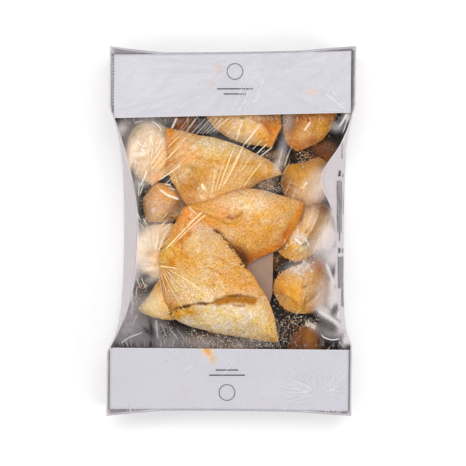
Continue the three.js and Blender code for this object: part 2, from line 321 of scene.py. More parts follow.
def crust_material(name, fleck=1.0, frost=0.25, golden=(0.98, 0.89, 0.52), floury=(1.0, 1.03, 1.16), grit=1.6):
    m = Nodes(name)
    tone = m.attr("tone", vector=True)
    fry = m.attr("fry")
    grain = m.noise(2600, 3, 0.6)
    fine = m.math("MULTIPLY_ADD", m.math("SUBTRACT", m.noise(1050, 3, 0.7), 0.5), m.math("MULTIPLY_ADD", m.attr("calm"), -0.6 * grit, grit), 0.5)
    mid = m.noise(540, 4, 0.66, distortion=0.2)
    blot = m.noise(470, 2, 0.5, distortion=0.3)
    patch = m.noise(150, 2.5, 0.55, distortion=0.3)
    broad = m.noise(120, 3, 0.5)
    specks = m.noise(760, 2, 0.5)
    # fried mottling: yellower where the crust blistered, paler where flour stayed on it
    warm = m.math("ADD", m.math("MULTIPLY_ADD", m.math("SUBTRACT", patch, 0.5), 3.8, 0.48), m.math("MULTIPLY", m.math("SUBTRACT", blot, 0.5), 1.3), clamp=True)
    gold = m.mixc(1.0, tone, golden, "MULTIPLY")
    pale = m.mixc(1.0, tone, floury, "MULTIPLY")
    c = m.mixc(warm, pale, gold)
    # browner specks and blisters
    hot = m.math("ADD", m.math("MULTIPLY", m.math("SUBTRACT", mid, 0.54), 5.0), m.math("MULTIPLY", m.math("SUBTRACT", blot, 0.55), 4.0), clamp=True)
    c = m.mixc(m.math("MULTIPLY", m.math("MULTIPLY", hot, fry), 0.6 * fleck, clamp=True), c, (0.84, 0.64, 0.42), "MULTIPLY")
    # the grain of the crust, light and dark
    c = m.mixc(1.0, c, m.mixc(fine, (0.36, 0.17, 0.0), (1.66, 1.84, 2.02)), "MULTIPLY")
    c = m.mixc(1.0, c, m.mixc(mid, (0.77, 0.71, 0.58), (1.25, 1.31, 1.44)), "MULTIPLY")
    c = m.mixc(1.0, c, m.mixc(broad, (0.90, 0.90, 0.90), (1.12, 1.12, 1.12)), "MULTIPLY")
    dots = m.math("MULTIPLY", m.math("SUBTRACT", specks, 0.69), 14.0, clamp=True)
    c = m.mixc(m.math("MULTIPLY", dots, 0.5 * fleck), c, tuple(BROWN))
    rime = m.math("MULTIPLY", m.math("SUBTRACT", grain, 0.54), 9.0, clamp=True)
    patchy = m.math("MULTIPLY_ADD", broad, 1.6, -0.25, clamp=True)
    c = m.mixc(m.math("MULTIPLY", m.math("MULTIPLY", rime, patchy), frost), c, tuple(SNOW))
    p = m.new("ShaderNodeBsdfPrincipled", Roughness=0.55)
    p.inputs["Specular IOR Level"].default_value = 0.14
    m.link(c, p.inputs["Base Color"])
    m.link(m.math("MULTIPLY_ADD", mid, 0.35, 0.42), p.inputs["Roughness"])
    b0 = m.bump(patch, 0.7, 0.0018)
    b1 = m.bump(mid, 0.8, 0.0014, b0)
    b2 = m.bump(fine, 0.4, 0.0005, b1)
    b3 = m.bump(grain, 0.3, 0.0003, b2)
    m.link(b3, p.inputs["Normal"])
    m.link(p.outputs[0], m.out.inputs[0])
    return m.mat


# ---------------------------------------------------------------- samosas
def resample(poly, n):
    p = np.vstack([poly, poly[:1]])
    d = np.r_[0, np.cumsum(np.hypot(*np.diff(p, axis=0).T))]
    t = np.linspace(0, d[-1], n, endpoint=False)
    return np.stack([np.interp(t, d, p[:, 0]), np.interp(t, d, p[:, 1])], 1)


def chaikin(poly, sharp, rounds=3):
    """Rounds a closed outline, keeping the corners flagged sharp only slightly eased."""
    pts = []
    for p, s in zip(poly, sharp):
        pts.append(p)
        if s:
            pts.append(p)
    p = np.array(pts, float)
    for _ in range(rounds):
        q = np.roll(p, -1, 0)
        p = np.stack([0.75 * p + 0.25 * q, 0.25 * p + 0.75 * q], 1).reshape(-1, 2)
    return p


def edge_distance(p, poly):
    """Distance inside a closed outline, negative outside."""
    best = np.full(len(p), np.inf)
    inside = np.zeros(len(p), bool)
    q = np.roll(poly, -1, 0)
    for a, b in zip(poly, q):
        ab = b - a
        L = ab @ ab
        if L < 1e-12:
            continue
        t = np.clip(((p - a) @ ab) / L, 0, 1)
        d = p - a - t[:, None] * ab
        best = np.minimum(best, (d * d).sum(1))
        cross = (a[1] > p[:, 1]) != (b[1] > p[:, 1])
        with np.errstate(divide="ignore", invalid="ignore"):
            xi = (b[0] - a[0]) * (p[:, 1] - a[1]) / (b[1] - a[1]) + a[0]
        inside ^= cross & (p[:, 0] < xi)
    return np.where(inside, 1, -1) * np.sqrt(best)


def path_distance(p, path):
    """Distance to an open path, share of the way along it, and which side (+1 left)."""
    best = np.full(len(p), np.inf)
    share = np.zeros(len(p))
    side = np.zeros(len(p))
    seg = np.hypot(*np.diff(path, axis=0).T)
    total = seg.sum()
    done = 0.0
    for a, b, L in zip(path[:-1], path[1:], seg):
        ab = b - a
        t = np.clip(((p - a) @ ab) / (L * L + 1e-12), 0, 1)
        d = p - a - t[:, None] * ab
        dd = (d * d).sum(1)
        m = dd < best
        best = np.where(m, dd, best)
        share = np.where(m, (done + t * L) / total, share)
        side = np.where(m, np.sign(ab[0] * (p[:, 1] - a[1]) - ab[1] * (p[:, 0] - a[0])), side)
        done += L
    return np.sqrt(best), share, side


class Samosa:
    """One samosa: an uneven pillow of pastry out to its outline, its rim on a tilted plane."""

    def __init__(self, name, outline, z, rise, drop=None, reach=0.85, power=0.82, folds=(), patches=(), base=CREAM,
                 edge=ORANGE, edge_w=2.6, edge_k=0.7, lumps=0.5, seed=1, sharp=(), n=220, rings=40, zref=44, mottling=1.0, gain=1.0, wobble=1.0, calm=()):
        self.name, self.seed, self.rise = name, seed, rise
        self.drop = rise * 0.75 if drop is None else drop
        raw = pxs([(o[0], o[1]) for o in outline], zref)
        flags = [len(o) > 2 for o in outline]
        self.outline = resample(chaikin(raw, flags), n)
        c = self.outline.mean(0)
        d = edge_distance(np.array([c]), self.outline)[0]
        self.centre = c
        # the plane of the rim through three or more levels given as (u, v, z)
        A = np.array([[*px(u, v, w)[:2], 1.0] for u, v, w in z])
        self.plane = np.linalg.lstsq(A, np.array([w for *_, w in z], float), rcond=None)[0]
        grid = c + (self.outline[:, None, :] - c) * np.linspace(0, 1, 12)[None, :, None]
        self.inradius = edge_distance(grid.reshape(-1, 2), self.outline).max()
        self.reach, self.power = reach * self.inradius, power
        self.folds, self.patches = folds, patches
        self.base, self.edge, self.edge_w, self.edge_k = base, edge, edge_w, edge_k
        self.lumps, self.zref, self.n, self.rings = lumps, zref, n, rings
        self.mottling, self.calm = mottling, calm
        self.fine, self.gain = 0.16, 0.89 * gain
        # the edge of folded pastry is never quite straight
        wob = 0.42 * fbm(self.outline, 7.0, seed + 90, 2) + 0.2 * fbm(self.outline, 2.2, seed + 91, 2)
        tan = np.roll(self.outline, -1, 0) - np.roll(self.outline, 1, 0)
        tan = tan / (np.hypot(*tan.T)[:, None] + 1e-9)
        self.outline = self.outline + np.stack([tan[:, 1], -tan[:, 0]], 1) * wob[:, None] * wobble

    def rim(self, p):
        return p @ self.plane[:2] + self.plane[2]

    def top(self, p, d=None):
        if d is None:
            d = edge_distance(p, self.outline)
        t = np.clip(d / self.reach, 0, 1)
        z = self.rim(p) + self.rise * np.power(1 - (1 - t) ** 2, self.power)
        body = smooth(0, 4, d)
        z = z + self.lumps * body * (1.5 * fbm(p, 17, self.seed, 2) + 0.75 * fbm(p, 6.0, self.seed + 5, 2))
        z = z + self.fine * smooth(0, 2, d) * (fbm(p, 2.6, self.seed + 7, 2) + np.abs(fbm(p, 4.4, self.seed + 8, 2)))
        for f in self.folds:
            z = z + self.fold_height(p, f) * smooth(0, f.get("ease", 1.5), d)
        return z

    def course(self, f):
        """A fold's path, worked out finely and made a little uneven."""
        path = pxs(f["path"], self.zref)
        seg = np.r_[0, np.cumsum(np.hypot(*np.diff(path, axis=0).T))]
        at = np.linspace(0, seg[-1], max(8, int(seg[-1] / 1.6)))
        c = np.stack([np.interp(at, seg, path[:, 0]), np.interp(at, seg, path[:, 1])], 1)
        for _ in range(2):
            c[1:-1] = 0.25 * c[:-2] + 0.5 * c[1:-1] + 0.25 * c[2:]
        c[:, 1] += f.get("ragged", 0.35) * fbm(c, 4.0, self.seed + 120, 2) + 0.6 * f.get("ragged", 0.35) * fbm(c, 1.8, self.seed + 121, 1)
        return c

    def fold_height(self, p, f):
        path = self.course(f)
        d, s, side = path_distance(p, path)
        run = smooth(0, f.get("fade", 0.12), s) * smooth(0, f.get("fade", 0.12), 1 - s) if f.get("fade", 0.12) > 0 else 1.0
        h = 0.0
        if "depth" in f:
            h = h - f["depth"] * np.exp(-(d / f["width"]) ** 2) * run
        if "step" in f:
            # one side of the fold stands higher, falling back to the surface over `over`
            h = h + f["step"] * run * np.where(side > 0, smooth(0, f.get("soft", 0.8), d) * np.exp(-d / f.get("over", 14.0)), 0.0)
        return h

    def bottom(self, p, d):
        t = np.clip(d / (self.reach * 1.1), 0, 1)
        return self.rim(p) - self.drop * np.power(1 - (1 - t) ** 2, 0.6) + 0.6 * self.lumps * smooth(0, 4, d) * fbm(p, 14, self.seed + 40, 2)

    def colour(self, p, d, under=False):
        n1 = fbm(p, 11, self.seed + 60, 3)
        n2 = fbm(p, 4.2, self.seed + 61, 3)
        n3 = fbm(p, 1.7, self.seed + 62, 2)
        n4 = fbm(p, 7.0, self.seed + 63, 3)
        c = np.repeat(np.asarray(self.base)[None], len(p), 0)
        c = mix(c, GOLD, np.clip((0.34 + 0.75 * n1 + 0.65 * n2 + 0.25 * n3) * self.mottling, 0, 1)[:, None])
        c = mix(c, PALE, np.clip(-0.04 - 0.75 * n1 + 0.6 * n4, 0, 0.9)[:, None])
        c = mix(c, ORANGE, np.clip((-0.22 + 0.95 * n4 * n2 * 3 + 0.5 * n3) * self.mottling, 0, 0.75)[:, None])
        e = np.exp(-np.maximum(d, 0) / self.edge_w) * (0.85 + 0.8 * n2 + 0.4 * n1)
        c = mix(c, self.edge, np.clip(e * self.edge_k, 0, 1)[:, None])
        if not under:
            for u, v, r, tint, k, *rest in self.patches:
                q = p - px(u, v, self.zref)[:2]
                if rest:
                    a = math.radians(rest[1])
                    q = q @ np.array([[math.cos(a), -math.sin(a)], [math.sin(a), math.cos(a)]])
                    q = q / np.array([rest[0], 1.0])
                w = np.exp(-((q * q).sum(1) / (r * 0.74) ** 2)) * (1.1 + 0.9 * n2 + 0.5 * n3)
                c = mix(c, tint, np.clip(w * k, 0, 1)[:, None])
            for f in self.folds:
                if "tint" in f:
                    dd, s, _ = path_distance(p, self.course(f))
                    w = np.exp(-(dd / f.get("tint_w", f.get("width", 1.0))) ** 2) * smooth(0, 0.1, s) * smooth(0, 0.1, 1 - s)
                    c = mix(c, f["tint"], np.clip(w * f.get("tint_k", 0.7) * (1 + 0.4 * n3), 0, 1)[:, None])
        else:
            c = mix(c, GOLD * 0.9, 0.5)
        blister = np.clip(n3 * 1.3 - 0.42, 0, 1)[:, None]
        c = mix(c, RUST, blister * 0.35)
        return np.clip(c * self.gain, 0, 0.97)

    def build(self, material, scale=1.0):
        n, k = self.n, self.rings
        kb = max(5, k // 5)
        out = resample(self.outline, n)
        t = np.arange(1, k + 1) / k
        r = 0.45 * t + 0.55 * np.sin(t * math.pi / 2)
        ring = self.centre + (out[None] - self.centre) * r[:, None, None]
        flat = ring.reshape(-1, 2)
        d = np.maximum(edge_distance(flat, self.outline), 0)
        d[-n:] = 0
        top = np.c_[flat, self.top(flat, d)]
        tb = np.arange(1, kb) / kb
        rb = 0.45 * tb + 0.55 * np.sin(tb * math.pi / 2)
        low = (self.centre + (out[None] - self.centre) * rb[:, None, None]).reshape(-1, 2)
        dl = np.maximum(edge_distance(low, self.outline), 0)
        bot = np.c_[low, self.bottom(low, dl)]
        c = self.centre[None]
        dc = edge_distance(c, self.outline)
        # rings outwards over the top, then the lower side's rings back in (the rim is shared)
        verts = inside_tray(np.vstack([top, bot, [[*c[0], self.top(c, dc)[0]]], [[*c[0], self.bottom(c, dc)[0]]]]))
        f = [grid_faces(k, n, wrap=True)]
        base = k * n
        fb = grid_faces(kb - 1, n, wrap=True, flip=True) + base
        f.append(fb)
        i = np.arange(n)
        j = (i + 1) % n
        # last lower ring to the shared rim
        f.append(np.stack([(k - 1) * n + i, (k - 1) * n + j, base + (kb - 2) * n + j, base + (kb - 2) * n + i], 1))
        quads = np.vstack(f)
        tip_t, tip_b = base + (kb - 1) * n, base + (kb - 1) * n + 1
        tri = np.vstack([
            np.stack([np.full(n, tip_t), i, j, j], 1),
            np.stack([np.full(n, tip_b), base + j, base + i, base + i], 1),
        ])
        cols = np.vstack([self.colour(flat, d), self.colour(low, dl, True), self.colour(c, dc), self.colour(c, dc, True)])
        me_faces = [tuple(q) for q in quads.tolist()] + [tuple(q[:3]) for q in tri.tolist()]
        me = bpy.data.meshes.new(self.name)
        me.from_pydata((verts * MM).tolist(), [], me_faces)
        me.update()
        me.polygons.foreach_set("use_smooth", np.ones(len(me.polygons), bool))
        a = me.color_attributes.new(name="tone", type="FLOAT_COLOR", domain="POINT")
        rgba = np.ones((len(verts), 4))
        rgba[:, :3] = np.clip(cols, 0, 1)
        a.data.foreach_set("color", rgba.ravel())
        f = me.attributes.new(name="fry", type="FLOAT", domain="POINT")
        f.data.foreach_set("value", np.full(len(verts), min(1.25, 0.15 + 0.9 * self.mottling)))
        quiet = np.zeros(len(verts))
        for u, v, r, k, stretch, angle in self.calm:
            a = math.radians(angle)
            q = (verts[:, :2] - px(u, v, self.zref)[:2]) @ np.array([[math.cos(a), -math.sin(a)], [math.sin(a), math.cos(a)]])
            quiet = np.maximum(quiet, k * np.exp(-((q / np.array([stretch, 1.0])) ** 2).sum(1) / (r * 0.74) ** 2))
        f = me.attributes.new(name="calm", type="FLOAT", domain="POINT")
        f.data.foreach_set("value", quiet)
        ob = bpy.data.objects.new(self.name, me)
        bpy.context.scene.collection.objects.link(ob)
        ob.data.materials.append(material)
        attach(ob, "root")
        return ob


SAMOSAS = [
    Samosa("samosa_top_left", [
        (166.3, 127.5, 1), (173, 128.8), (185, 131.8), (199, 135), (215, 137.4), (226, 140.5), (240, 145.4), (253, 151.9),
        (267, 158.4), (277, 165), (282, 174, 1), (272.5, 177.4), (258.5, 182.2), (248, 190), (232, 200), (214, 208), (196, 213, 1),
        (187, 205.5), (179.3, 194.2), (173.3, 184.4), (168.4, 175.7), (167, 163.8), (167.6, 150.8), (166, 136)],
        z=[(166, 128, 44.5), (282, 174, 40), (190, 206, 42)], rise=8.6, seed=11, gain=0.945, base=CREAM, n=360, rings=84,
        folds=[dict(path=[(190, 160), (204, 159), (214, 163), (240, 163), (262, 164)], step=0.5, soft=1.2, over=9, depth=0.35, width=1.2, tint=GOLD, tint_w=2.2, tint_k=0.6, fade=0.25),
               dict(path=[(170, 132), (171, 150), (174, 170), (184, 196)], depth=0.8, width=1.4, fade=0.2),
               *[dict(path=[(u, v), (u + 21, v - 18)], depth=0.16, width=0.5, tint=lin((244, 156, 34)), tint_w=0.6, tint_k=0.7, fade=0.3, ragged=0.2)
                 for u, v in ((168, 144), (168, 150), (169, 155.5), (169.5, 160.5), (171, 166), (173, 171), (176, 175), (181, 165), (178, 148), (182, 153))],
               *[dict(path=path, depth=0.35, width=0.9, tint=lin((196, 128, 30)), tint_w=0.8, tint_k=0.5, fade=0.3, ragged=0.8)
                 for path in ([(182, 184), (187, 187), (190, 193)], [(190, 178), (196, 181), (198, 188)], [(186, 198), (192, 199), (197, 203)], [(206, 168), (214, 169), (222, 172)])],
               dict(path=[(204, 166), (206, 184), (212, 200)], depth=0.6, width=1.5, fade=0.25)],
        patches=[(169, 141, 7, lin((255, 158, 14)), 1.6, 3.2, 86), (177, 152, 9, lin((244, 164, 36)), 0.95, 1.6, 80), (174, 166, 7, lin((232, 150, 50)), 0.7, 1.6, 60), (190, 146, 14, PALE, 0.45), (224, 149, 20, PALE, 0.95, 1.6, 15), (248, 160, 12, CREAM, 0.6, 1.5, 25),
                 (195, 158, 8, GOLD, 0.6), (188, 194, 13, GOLD, 0.85, 1.5, 60), (196, 180, 12, GOLD, 0.7), (181, 178, 7, PALE, 0.6, 1.5, 30), (184, 188, 5, ORANGE, 0.45), (203, 190, 7, PALE, 0.6, 1.5, 80), (216, 196, 8, GOLD, 0.6, 1.6, -20), (269, 170, 9, lin((255, 208, 138)), 0.9, 1.5, 10), (256, 176, 8, GOLD, 0.8, 1.8, 15),
                 (228, 172, 14, GOLD, 0.5), (240, 178, 14, GOLD, 0.35, 1.8, 20), (194, 168.6, 2.0, lin((116, 92, 16)), 0.75, 1.8, -20), (210, 162, 5, GOLD, 0.9, 1.6, 0), (199, 176, 9, lin((222, 164, 64)), 0.6, 1.5, 80), (205, 150, 13, PALE, 0.5), (190, 190, 10, lin((202, 140, 56)), 0.7, 1.3, 60), (188, 201, 7, lin((230, 154, 44)), 0.8, 1.6, -55), (184, 208, 5, ORANGE, 0.5, 1.6, -50), (222, 146, 10, lin((252, 224, 178)), 0.5, 2.0, 12), (268, 170, 6, lin((255, 206, 136)), 0.5, 1.5, 10)]),
    Samosa("samosa_mid_right", [
        (186.5, 206.2, 1), (202, 201.8), (215, 197.4), (228, 193.6), (242, 189.5), (253, 188.2), (267, 190.9), (280, 195.3), (294, 198.6),
        (304.5, 203, 1), (303.5, 211), (299.7, 220.2), (292, 233.2), (284.5, 245), (274.7, 251.7), (263.9, 256), (253, 261.4),
        (246, 266.5, 1), (236, 262), (226, 253), (214, 240), (202, 226), (192, 214)],
        z=[(187, 206, 47.5), (304, 203, 43), (246, 266, 38)], rise=9.46, seed=23, gain=0.97, base=CREAM, n=360, rings=84,
        # the dark tint along the first fold, where the lower left samosa's edge lies over this one, is painted shadow
        folds=[dict(path=[(213, 227.5), (221.5, 236), (229, 244.5), (236, 252), (242, 260), (247, 268)], depth=0.9, width=1.3, tint=lin((128, 70, 26)), tint_w=1.5, tint_k=0.75, fade=0.06, ragged=1.6, ease=0.3),
               dict(path=[(189, 208), (200, 212), (210, 217.5), (220, 222.5), (230, 224.5), (238, 222), (242, 217)], step=1.2, soft=1.3, over=9, depth=0.5, width=1.5, tint=GOLD, tint_w=2.6, tint_k=0.7, fade=0.18, ragged=0.6),
               dict(path=[(226, 217), (233, 219.5), (239, 216), (243, 211)], depth=0.5, width=1.0, tint=lin((170, 92, 26)), tint_w=1.1, tint_k=0.7, fade=0.25, ragged=1.4),
               dict(path=[(240, 232), (252, 240), (268, 236)], depth=0.5, width=2.5, fade=0.3),
               dict(path=[(296, 206), (292, 222), (282, 240)], depth=0.6, width=1.6, fade=0.25)],
        patches=[(236, 219, 4.5, lin((196, 112, 30)), 0.7, 1.6, 25), (229, 217, 3, BROWN, 0.5, 1.6, 20), (212, 222, 4, ORANGE, 0.9, 2.8, -30), (240, 214, 5, GOLD, 0.7), (252, 203, 24, PALE, 0.35, 1.7, 0), (276, 237, 9, lin((236, 154, 50)), 1.0, 1.5, 30), (268, 248, 6, lin((226, 146, 54)), 0.6, 2.4, 25), (284, 241, 6, lin((218, 128, 40)), 0.7, 1.6, 50), (282, 227, 8, PALE, 0.45, 1.6, 60), (292, 229, 5, lin((240, 150, 30)), 1.1, 2.6, 58), (264, 240, 8, lin((232, 172, 90)), 0.6, 1.6, 20), (255, 202, 16, PALE, 0.42, 1.8, 0), (262, 198, 5, lin((226, 160, 84)), 0.35, 3.0, -8), (286, 233, 3, lin((206, 108, 26)), 0.8, 2.4, 48), (279, 246, 2, lin((190, 84, 16)), 0.9, 1.8, 30), (263, 254, 3, lin((208, 106, 20)), 0.8, 2.0, 25), (272, 238, 2.5, lin((246, 196, 110)), 0.7, 2.6, 45), (274, 225, 4, lin((222, 150, 80)), 0.5, 2.0, 40),
                 # the brown and near-black patches at (241, 254), (247, 260), (236, 251) and (244, 259.5) are painted
                 # shadow under this samosa's lower edge
                 (299, 215, 5, lin((244, 158, 36)), 1.2, 2.8, 68), (241, 254, 7, BROWN, 1.1, 1.4, -50), (247, 260, 4, lin((70, 34, 12)), 0.9, 1.6, -50), (250, 263, 6, lin((238, 128, 10)), 1.2, 1.6, 25), (258, 259, 5, lin((196, 100, 18)), 0.9, 2.2, 25), (270, 253, 5, lin((240, 140, 14)), 1.1, 2.0, 25), (229, 233, 11, PALE, 0.45), (251, 236, 14, lin((232, 172, 84)), 0.8),
                 (222, 213, 8, ORANGE, 0.4, 2.2, -20), (266, 222, 13, GOLD, 0.6), (280, 210, 9, GOLD, 0.4), (198, 207, 8, GOLD, 0.8, 2.0, -20), (236, 251, 5, lin((150, 84, 28)), 1.0, 2.2, -45), (244, 259.5, 4.5, lin((100, 48, 16)), 0.9, 1.8, -45)]),
    Samosa("samosa_low_left", [
        (184.9, 206.4, 1), (190, 209), (197, 213.5), (205.3, 219.6), (217.6, 230.8), (227.8, 242), (234.9, 250.2), (241, 259.4), (247, 268.6), (254.3, 276.7),
        (262.4, 290), (270.6, 304.3), (274.7, 317.6), (277.4, 332), (279, 343, 1), (267.6, 342.6), (257.3, 341), (242, 338), (226.7, 335.9), (211.4, 332.9),
        (193, 327.8), (180.8, 323.7), (170.6, 318.2, 1), (164.5, 308.4), (161.6, 297), (160.2, 286.9), (160.2, 276.7), (159, 267.6), (156.6, 261.4, 1),
        (160, 252), (165.5, 241), (172.7, 226.7), (178, 217.6)],
        z=[(185, 206, 48.5), (157, 261, 42), (279, 343, 38.5), (170, 318, 38)], rise=9.46, seed=37, gain=0.965, base=CREAM, edge=lin((250, 180, 62)), calm=[(228, 319, 15, 1.0, 3.0, 8), (205, 240, 12, 0.6, 1.5, 40)], n=420, rings=96,
        folds=[
            # the lip: the upper sheet of pastry ends over the lower one; the brown along it is partly the crust's edge,
            # partly painted shadow under it
            dict(path=[(168, 313.5), (175, 309.8), (183, 307), (191, 305), (200, 303), (206, 303.4), (213, 302), (218.5, 299.6), (224, 297.9), (229, 295.8), (234.5, 295), (244, 295.4), (253, 297.6), (260, 300.3)],
                 step=0.95, soft=0.9, over=10, depth=0.45, width=0.9, tint=lin((176, 112, 42)), tint_w=1.0, tint_k=0.8, fade=0.06, ease=0.8, ragged=0.9),
            dict(path=[(213, 302.5), (224, 300.4), (234, 299.0), (244, 299.4), (252, 300.4), (259, 301.8)], depth=0.9, width=2.3, tint=lin((186, 122, 20)), tint_w=2.8, tint_k=1.2, fade=0.18, ragged=0.7),
            # the dark brown spots in this fold and the next two are painted shadow under the lip's edge
            dict(path=[(180, 308.5), (186, 306.4), (191, 305.6)], depth=0.5, width=1.0, tint=lin((84, 44, 20)), tint_w=1.0, tint_k=0.95, fade=0.25),
            dict(path=[(197, 303.6), (203, 303.6), (208, 304)], depth=0.4, width=0.9, tint=lin((110, 60, 24)), tint_w=0.9, tint_k=0.8, fade=0.25),
            dict(path=[(230, 296.2), (236, 295.8), (243, 296.4)], depth=0.45, width=0.8, tint=lin((128, 74, 22)), tint_w=0.8, tint_k=0.8, fade=0.25),
            dict(path=[(232, 305), (240, 305.6), (246, 304.6)], depth=0.3, width=0.8, tint=lin((150, 92, 30)), tint_w=0.8, tint_k=0.7, fade=0.3, ragged=0.8),
            *[dict(path=path, depth=0.4, width=0.9, tint=lin((206, 122, 24)), tint_w=0.8, tint_k=0.55, fade=0.3, ragged=0.9)
              for path in ([(168, 246), (173, 250), (176, 257)], [(176, 236), (181, 241), (183, 249)], [(184, 226), (189, 231), (189, 238)], [(165, 256), (170, 259), (172, 266)], [(180, 252), (186, 254), (189, 260)],
                           [(208, 268), (216, 270), (222, 275)], [(214, 258), (222, 259), (228, 264)])],
            dict(path=[(163, 262), (167, 280), (174, 300)], depth=0.5, width=1.8, fade=0.3),
            dict(path=[(169, 245), (186, 236), (200, 224)], depth=0.6, width=1.6, fade=0.3)],
        patches=[(163, 252, 8, lin((255, 194, 80)), 1.05, 2.2, 62), (173, 234, 8, lin((250, 168, 40)), 1.0, 2.0, 62), (186, 213, 8, lin((246, 156, 20)), 1.0, 1.5, 60), (176, 250, 10, GOLD, 0.7), (206, 236, 13, lin((226, 196, 158)), 0.95), (212, 262, 22, CREAM, 0.7),
                 (200, 285, 18, PALE, 0.5), (165, 288, 6, lin((250, 158, 24)), 1.0, 3.0, 85), (172, 305, 6, ORANGE, 0.7, 1.6, 70), (178, 282, 8, PALE, 0.6, 1.8, 40), (240, 285, 14, GOLD, 0.6, 1.6, 50), (252, 289, 9, ORANGE, 0.4, 2.0, -35),
                 # the pale patches at (222, 318), (196, 315), (250, 326), (262, 318) and (266, 331) are partly the
                 # pastry's paler colour, partly painted light on this face that slopes away from the lamps
                 (222, 318, 17, lin((255, 234, 198)), 1.4, 2.8, 8), (196, 315, 8, PALE, 0.8, 2.2, 8), (250, 326, 10, PALE, 0.8, 2.0, 10), (186, 311, 5, GOLD, 0.8, 2.4, -12), (262, 318, 8, PALE, 0.6, 1.8, 40), (175, 314, 6, lin((244, 186, 60)), 1.0, 1.6, 20), (169, 309, 4, RUST, 0.7), (273, 318, 5, lin((255, 180, 66)), 0.7, 3.2, -72), (266, 331, 9, lin((255, 222, 164)), 1.2, 1.6, 30), (268, 338, 5, GOLD, 0.5, 1.8, -10), (216, 224, 7, lin((214, 150, 110)), 0.35, 2.0, -42),
                 (188, 262, 12, GOLD, 0.5), (192, 222, 6, ORANGE, 0.5, 1.8, 60), (226, 262, 9, GOLD, 0.3), (170, 252, 8, lin((255, 212, 112)), 0.7, 2.0, 62), (181, 240, 5, lin((226, 140, 24)), 0.6, 1.8, 60), (190, 232, 4, lin((224, 146, 40)), 0.6, 1.5, 30), (172, 262, 4, lin((232, 150, 30)), 0.7, 1.5, 80), (214, 279, 4, lin((226, 160, 80)), 0.5, 2.4, 30), (236, 276, 5, lin((236, 178, 84)), 0.5, 2.0, -50)]),
    Samosa("samosa_left_a", [
        (151, 185.5, 1), (144, 181), (133, 174), (127, 166), (125.2, 155), (126.5, 141), (130, 129), (138, 123), (150, 121.5), (161, 124), (168, 130),
        (176, 142), (178, 156), (172, 170), (160, 180)],
        # the raised gain is painted light: it makes up for the light this low samosa lacks
        gain=1.2, z=[(151, 185, 37), (127, 150, 34), (165, 130, 36), (176, 155, 35)], rise=9.46, seed=41, base=lin((240, 217, 182)), edge=lin((238, 190, 110)), edge_k=0.4, lumps=1.1, mottling=0.25,
        folds=[dict(path=[(130, 140), (140, 152), (146, 168), (150, 182)], depth=1.2, width=2.2, fade=0.25), dict(path=[(150, 124), (152, 140), (148, 160)], depth=1.0, width=2.5, fade=0.3)],
        patches=[(160, 150, 10, GOLD, 0.35), (155, 178, 7, ORANGE, 0.6), (138, 140, 14, lin((244, 226, 200)), 0.9), (163, 166, 9, lin((244, 196, 120)), 0.8), (134, 135, 2.2, RUST, 0.5)]),
    Samosa("samosa_left_b", [
        (141.5, 198, 1), (149, 187.5), (155, 182, 1), (168, 183), (182, 195), (189, 206, 1), (184, 215), (174, 221.5), (163, 222), (147, 221.5, 1), (142.5, 211)],
        gain=1.07, z=[(141, 205, 33.5), (185, 205, 35), (160, 183, 33.5)], rise=4.6, reach=0.55, power=0.8, drop=9.0, lumps=1.0, seed=43, base=CREAM, edge=GOLD, edge_k=0.4, mottling=0.8,
        folds=[dict(path=[(150, 186), (162, 196), (178, 206)], depth=1.2, width=2.4, fade=0.2)],
        patches=[(174, 213, 9, lin((140, 84, 20)), 0.95, 1.5, 40), (170, 206, 5, lin((190, 120, 50)), 0.7), (179, 206, 6, lin((110, 84, 40)), 0.7), (153, 203, 13, lin((222, 176, 138)), 0.8), (160, 190, 7, ORANGE, 0.4, 2.0, -20), (153, 210, 1.6, SNOW, 0.9)]),
    Samosa("samosa_left_c", [
        (138, 240), (140, 231), (147, 226), (158, 224), (172, 223), (186, 226), (186, 244), (178, 262), (170, 277), (159, 280), (147, 276.5), (139.5, 264), (137, 250)],
        # the raised gain is painted light: it makes up for the light this low samosa lacks
        gain=1.22, z=[(138, 245, 33), (185, 235, 34), (158, 272, 34)], rise=8.6, seed=47, base=lin((240, 212, 170)), edge=lin((238, 190, 110)), edge_k=0.35, mottling=0.25,
        folds=[dict(path=[(142, 236), (152, 246), (160, 262)], depth=1.0, width=2.6, fade=0.25)],
        # the orange spot at (152, 262) by the tip is a painted highlight
        patches=[(152, 262, 6, ORANGE, 0.55, 1.8, 10), (166, 240, 10, GOLD, 0.5), (146, 240, 12, lin((240, 216, 180)), 0.7)]),
    Samosa("samosa_left_d", [
        (136.8, 309, 1), (141, 304.4), (147, 298.4), (151, 291), (155.5, 283), (161, 277), (168, 275), (180, 286), (186, 306), (180, 320), (166, 321), (152, 318), (141, 314.5)],
        # the raised gain is painted light: it makes up for the light this low samosa lacks
        gain=1.5, z=[(137, 309, 33), (165, 278, 35), (180, 318, 34)], rise=6.4, seed=53, base=lin((255, 172, 100)), edge=lin((246, 168, 82)), edge_k=0.6, mottling=0.25, lumps=0.9,
        patches=[(150, 303, 13, lin((255, 192, 122)), 0.9)]),
    Samosa("samosa_top_mid", [
        (196, 98), (228, 95), (262, 96), (280, 108), (282, 127, 1), (277, 138), (272, 147.5, 1), (260, 145), (243, 143), (229, 137), (216, 129), (207, 118), (199, 108)],
        gain=1.14, z=[(205, 115, 32), (281, 128, 34), (272, 146, 33)], rise=8.0, reach=1.0, lumps=0.9, wobble=1.8, seed=59, base=CREAM, edge=GOLD, edge_k=0.6, mottling=0.9,
        folds=[dict(path=[(250, 117), (264, 122), (276, 138)], depth=1.3, width=1.3, fade=0.2, tint=RUST, tint_k=0.6), dict(path=[(222, 112), (236, 126), (250, 138)], depth=0.7, width=2.2, fade=0.3)],
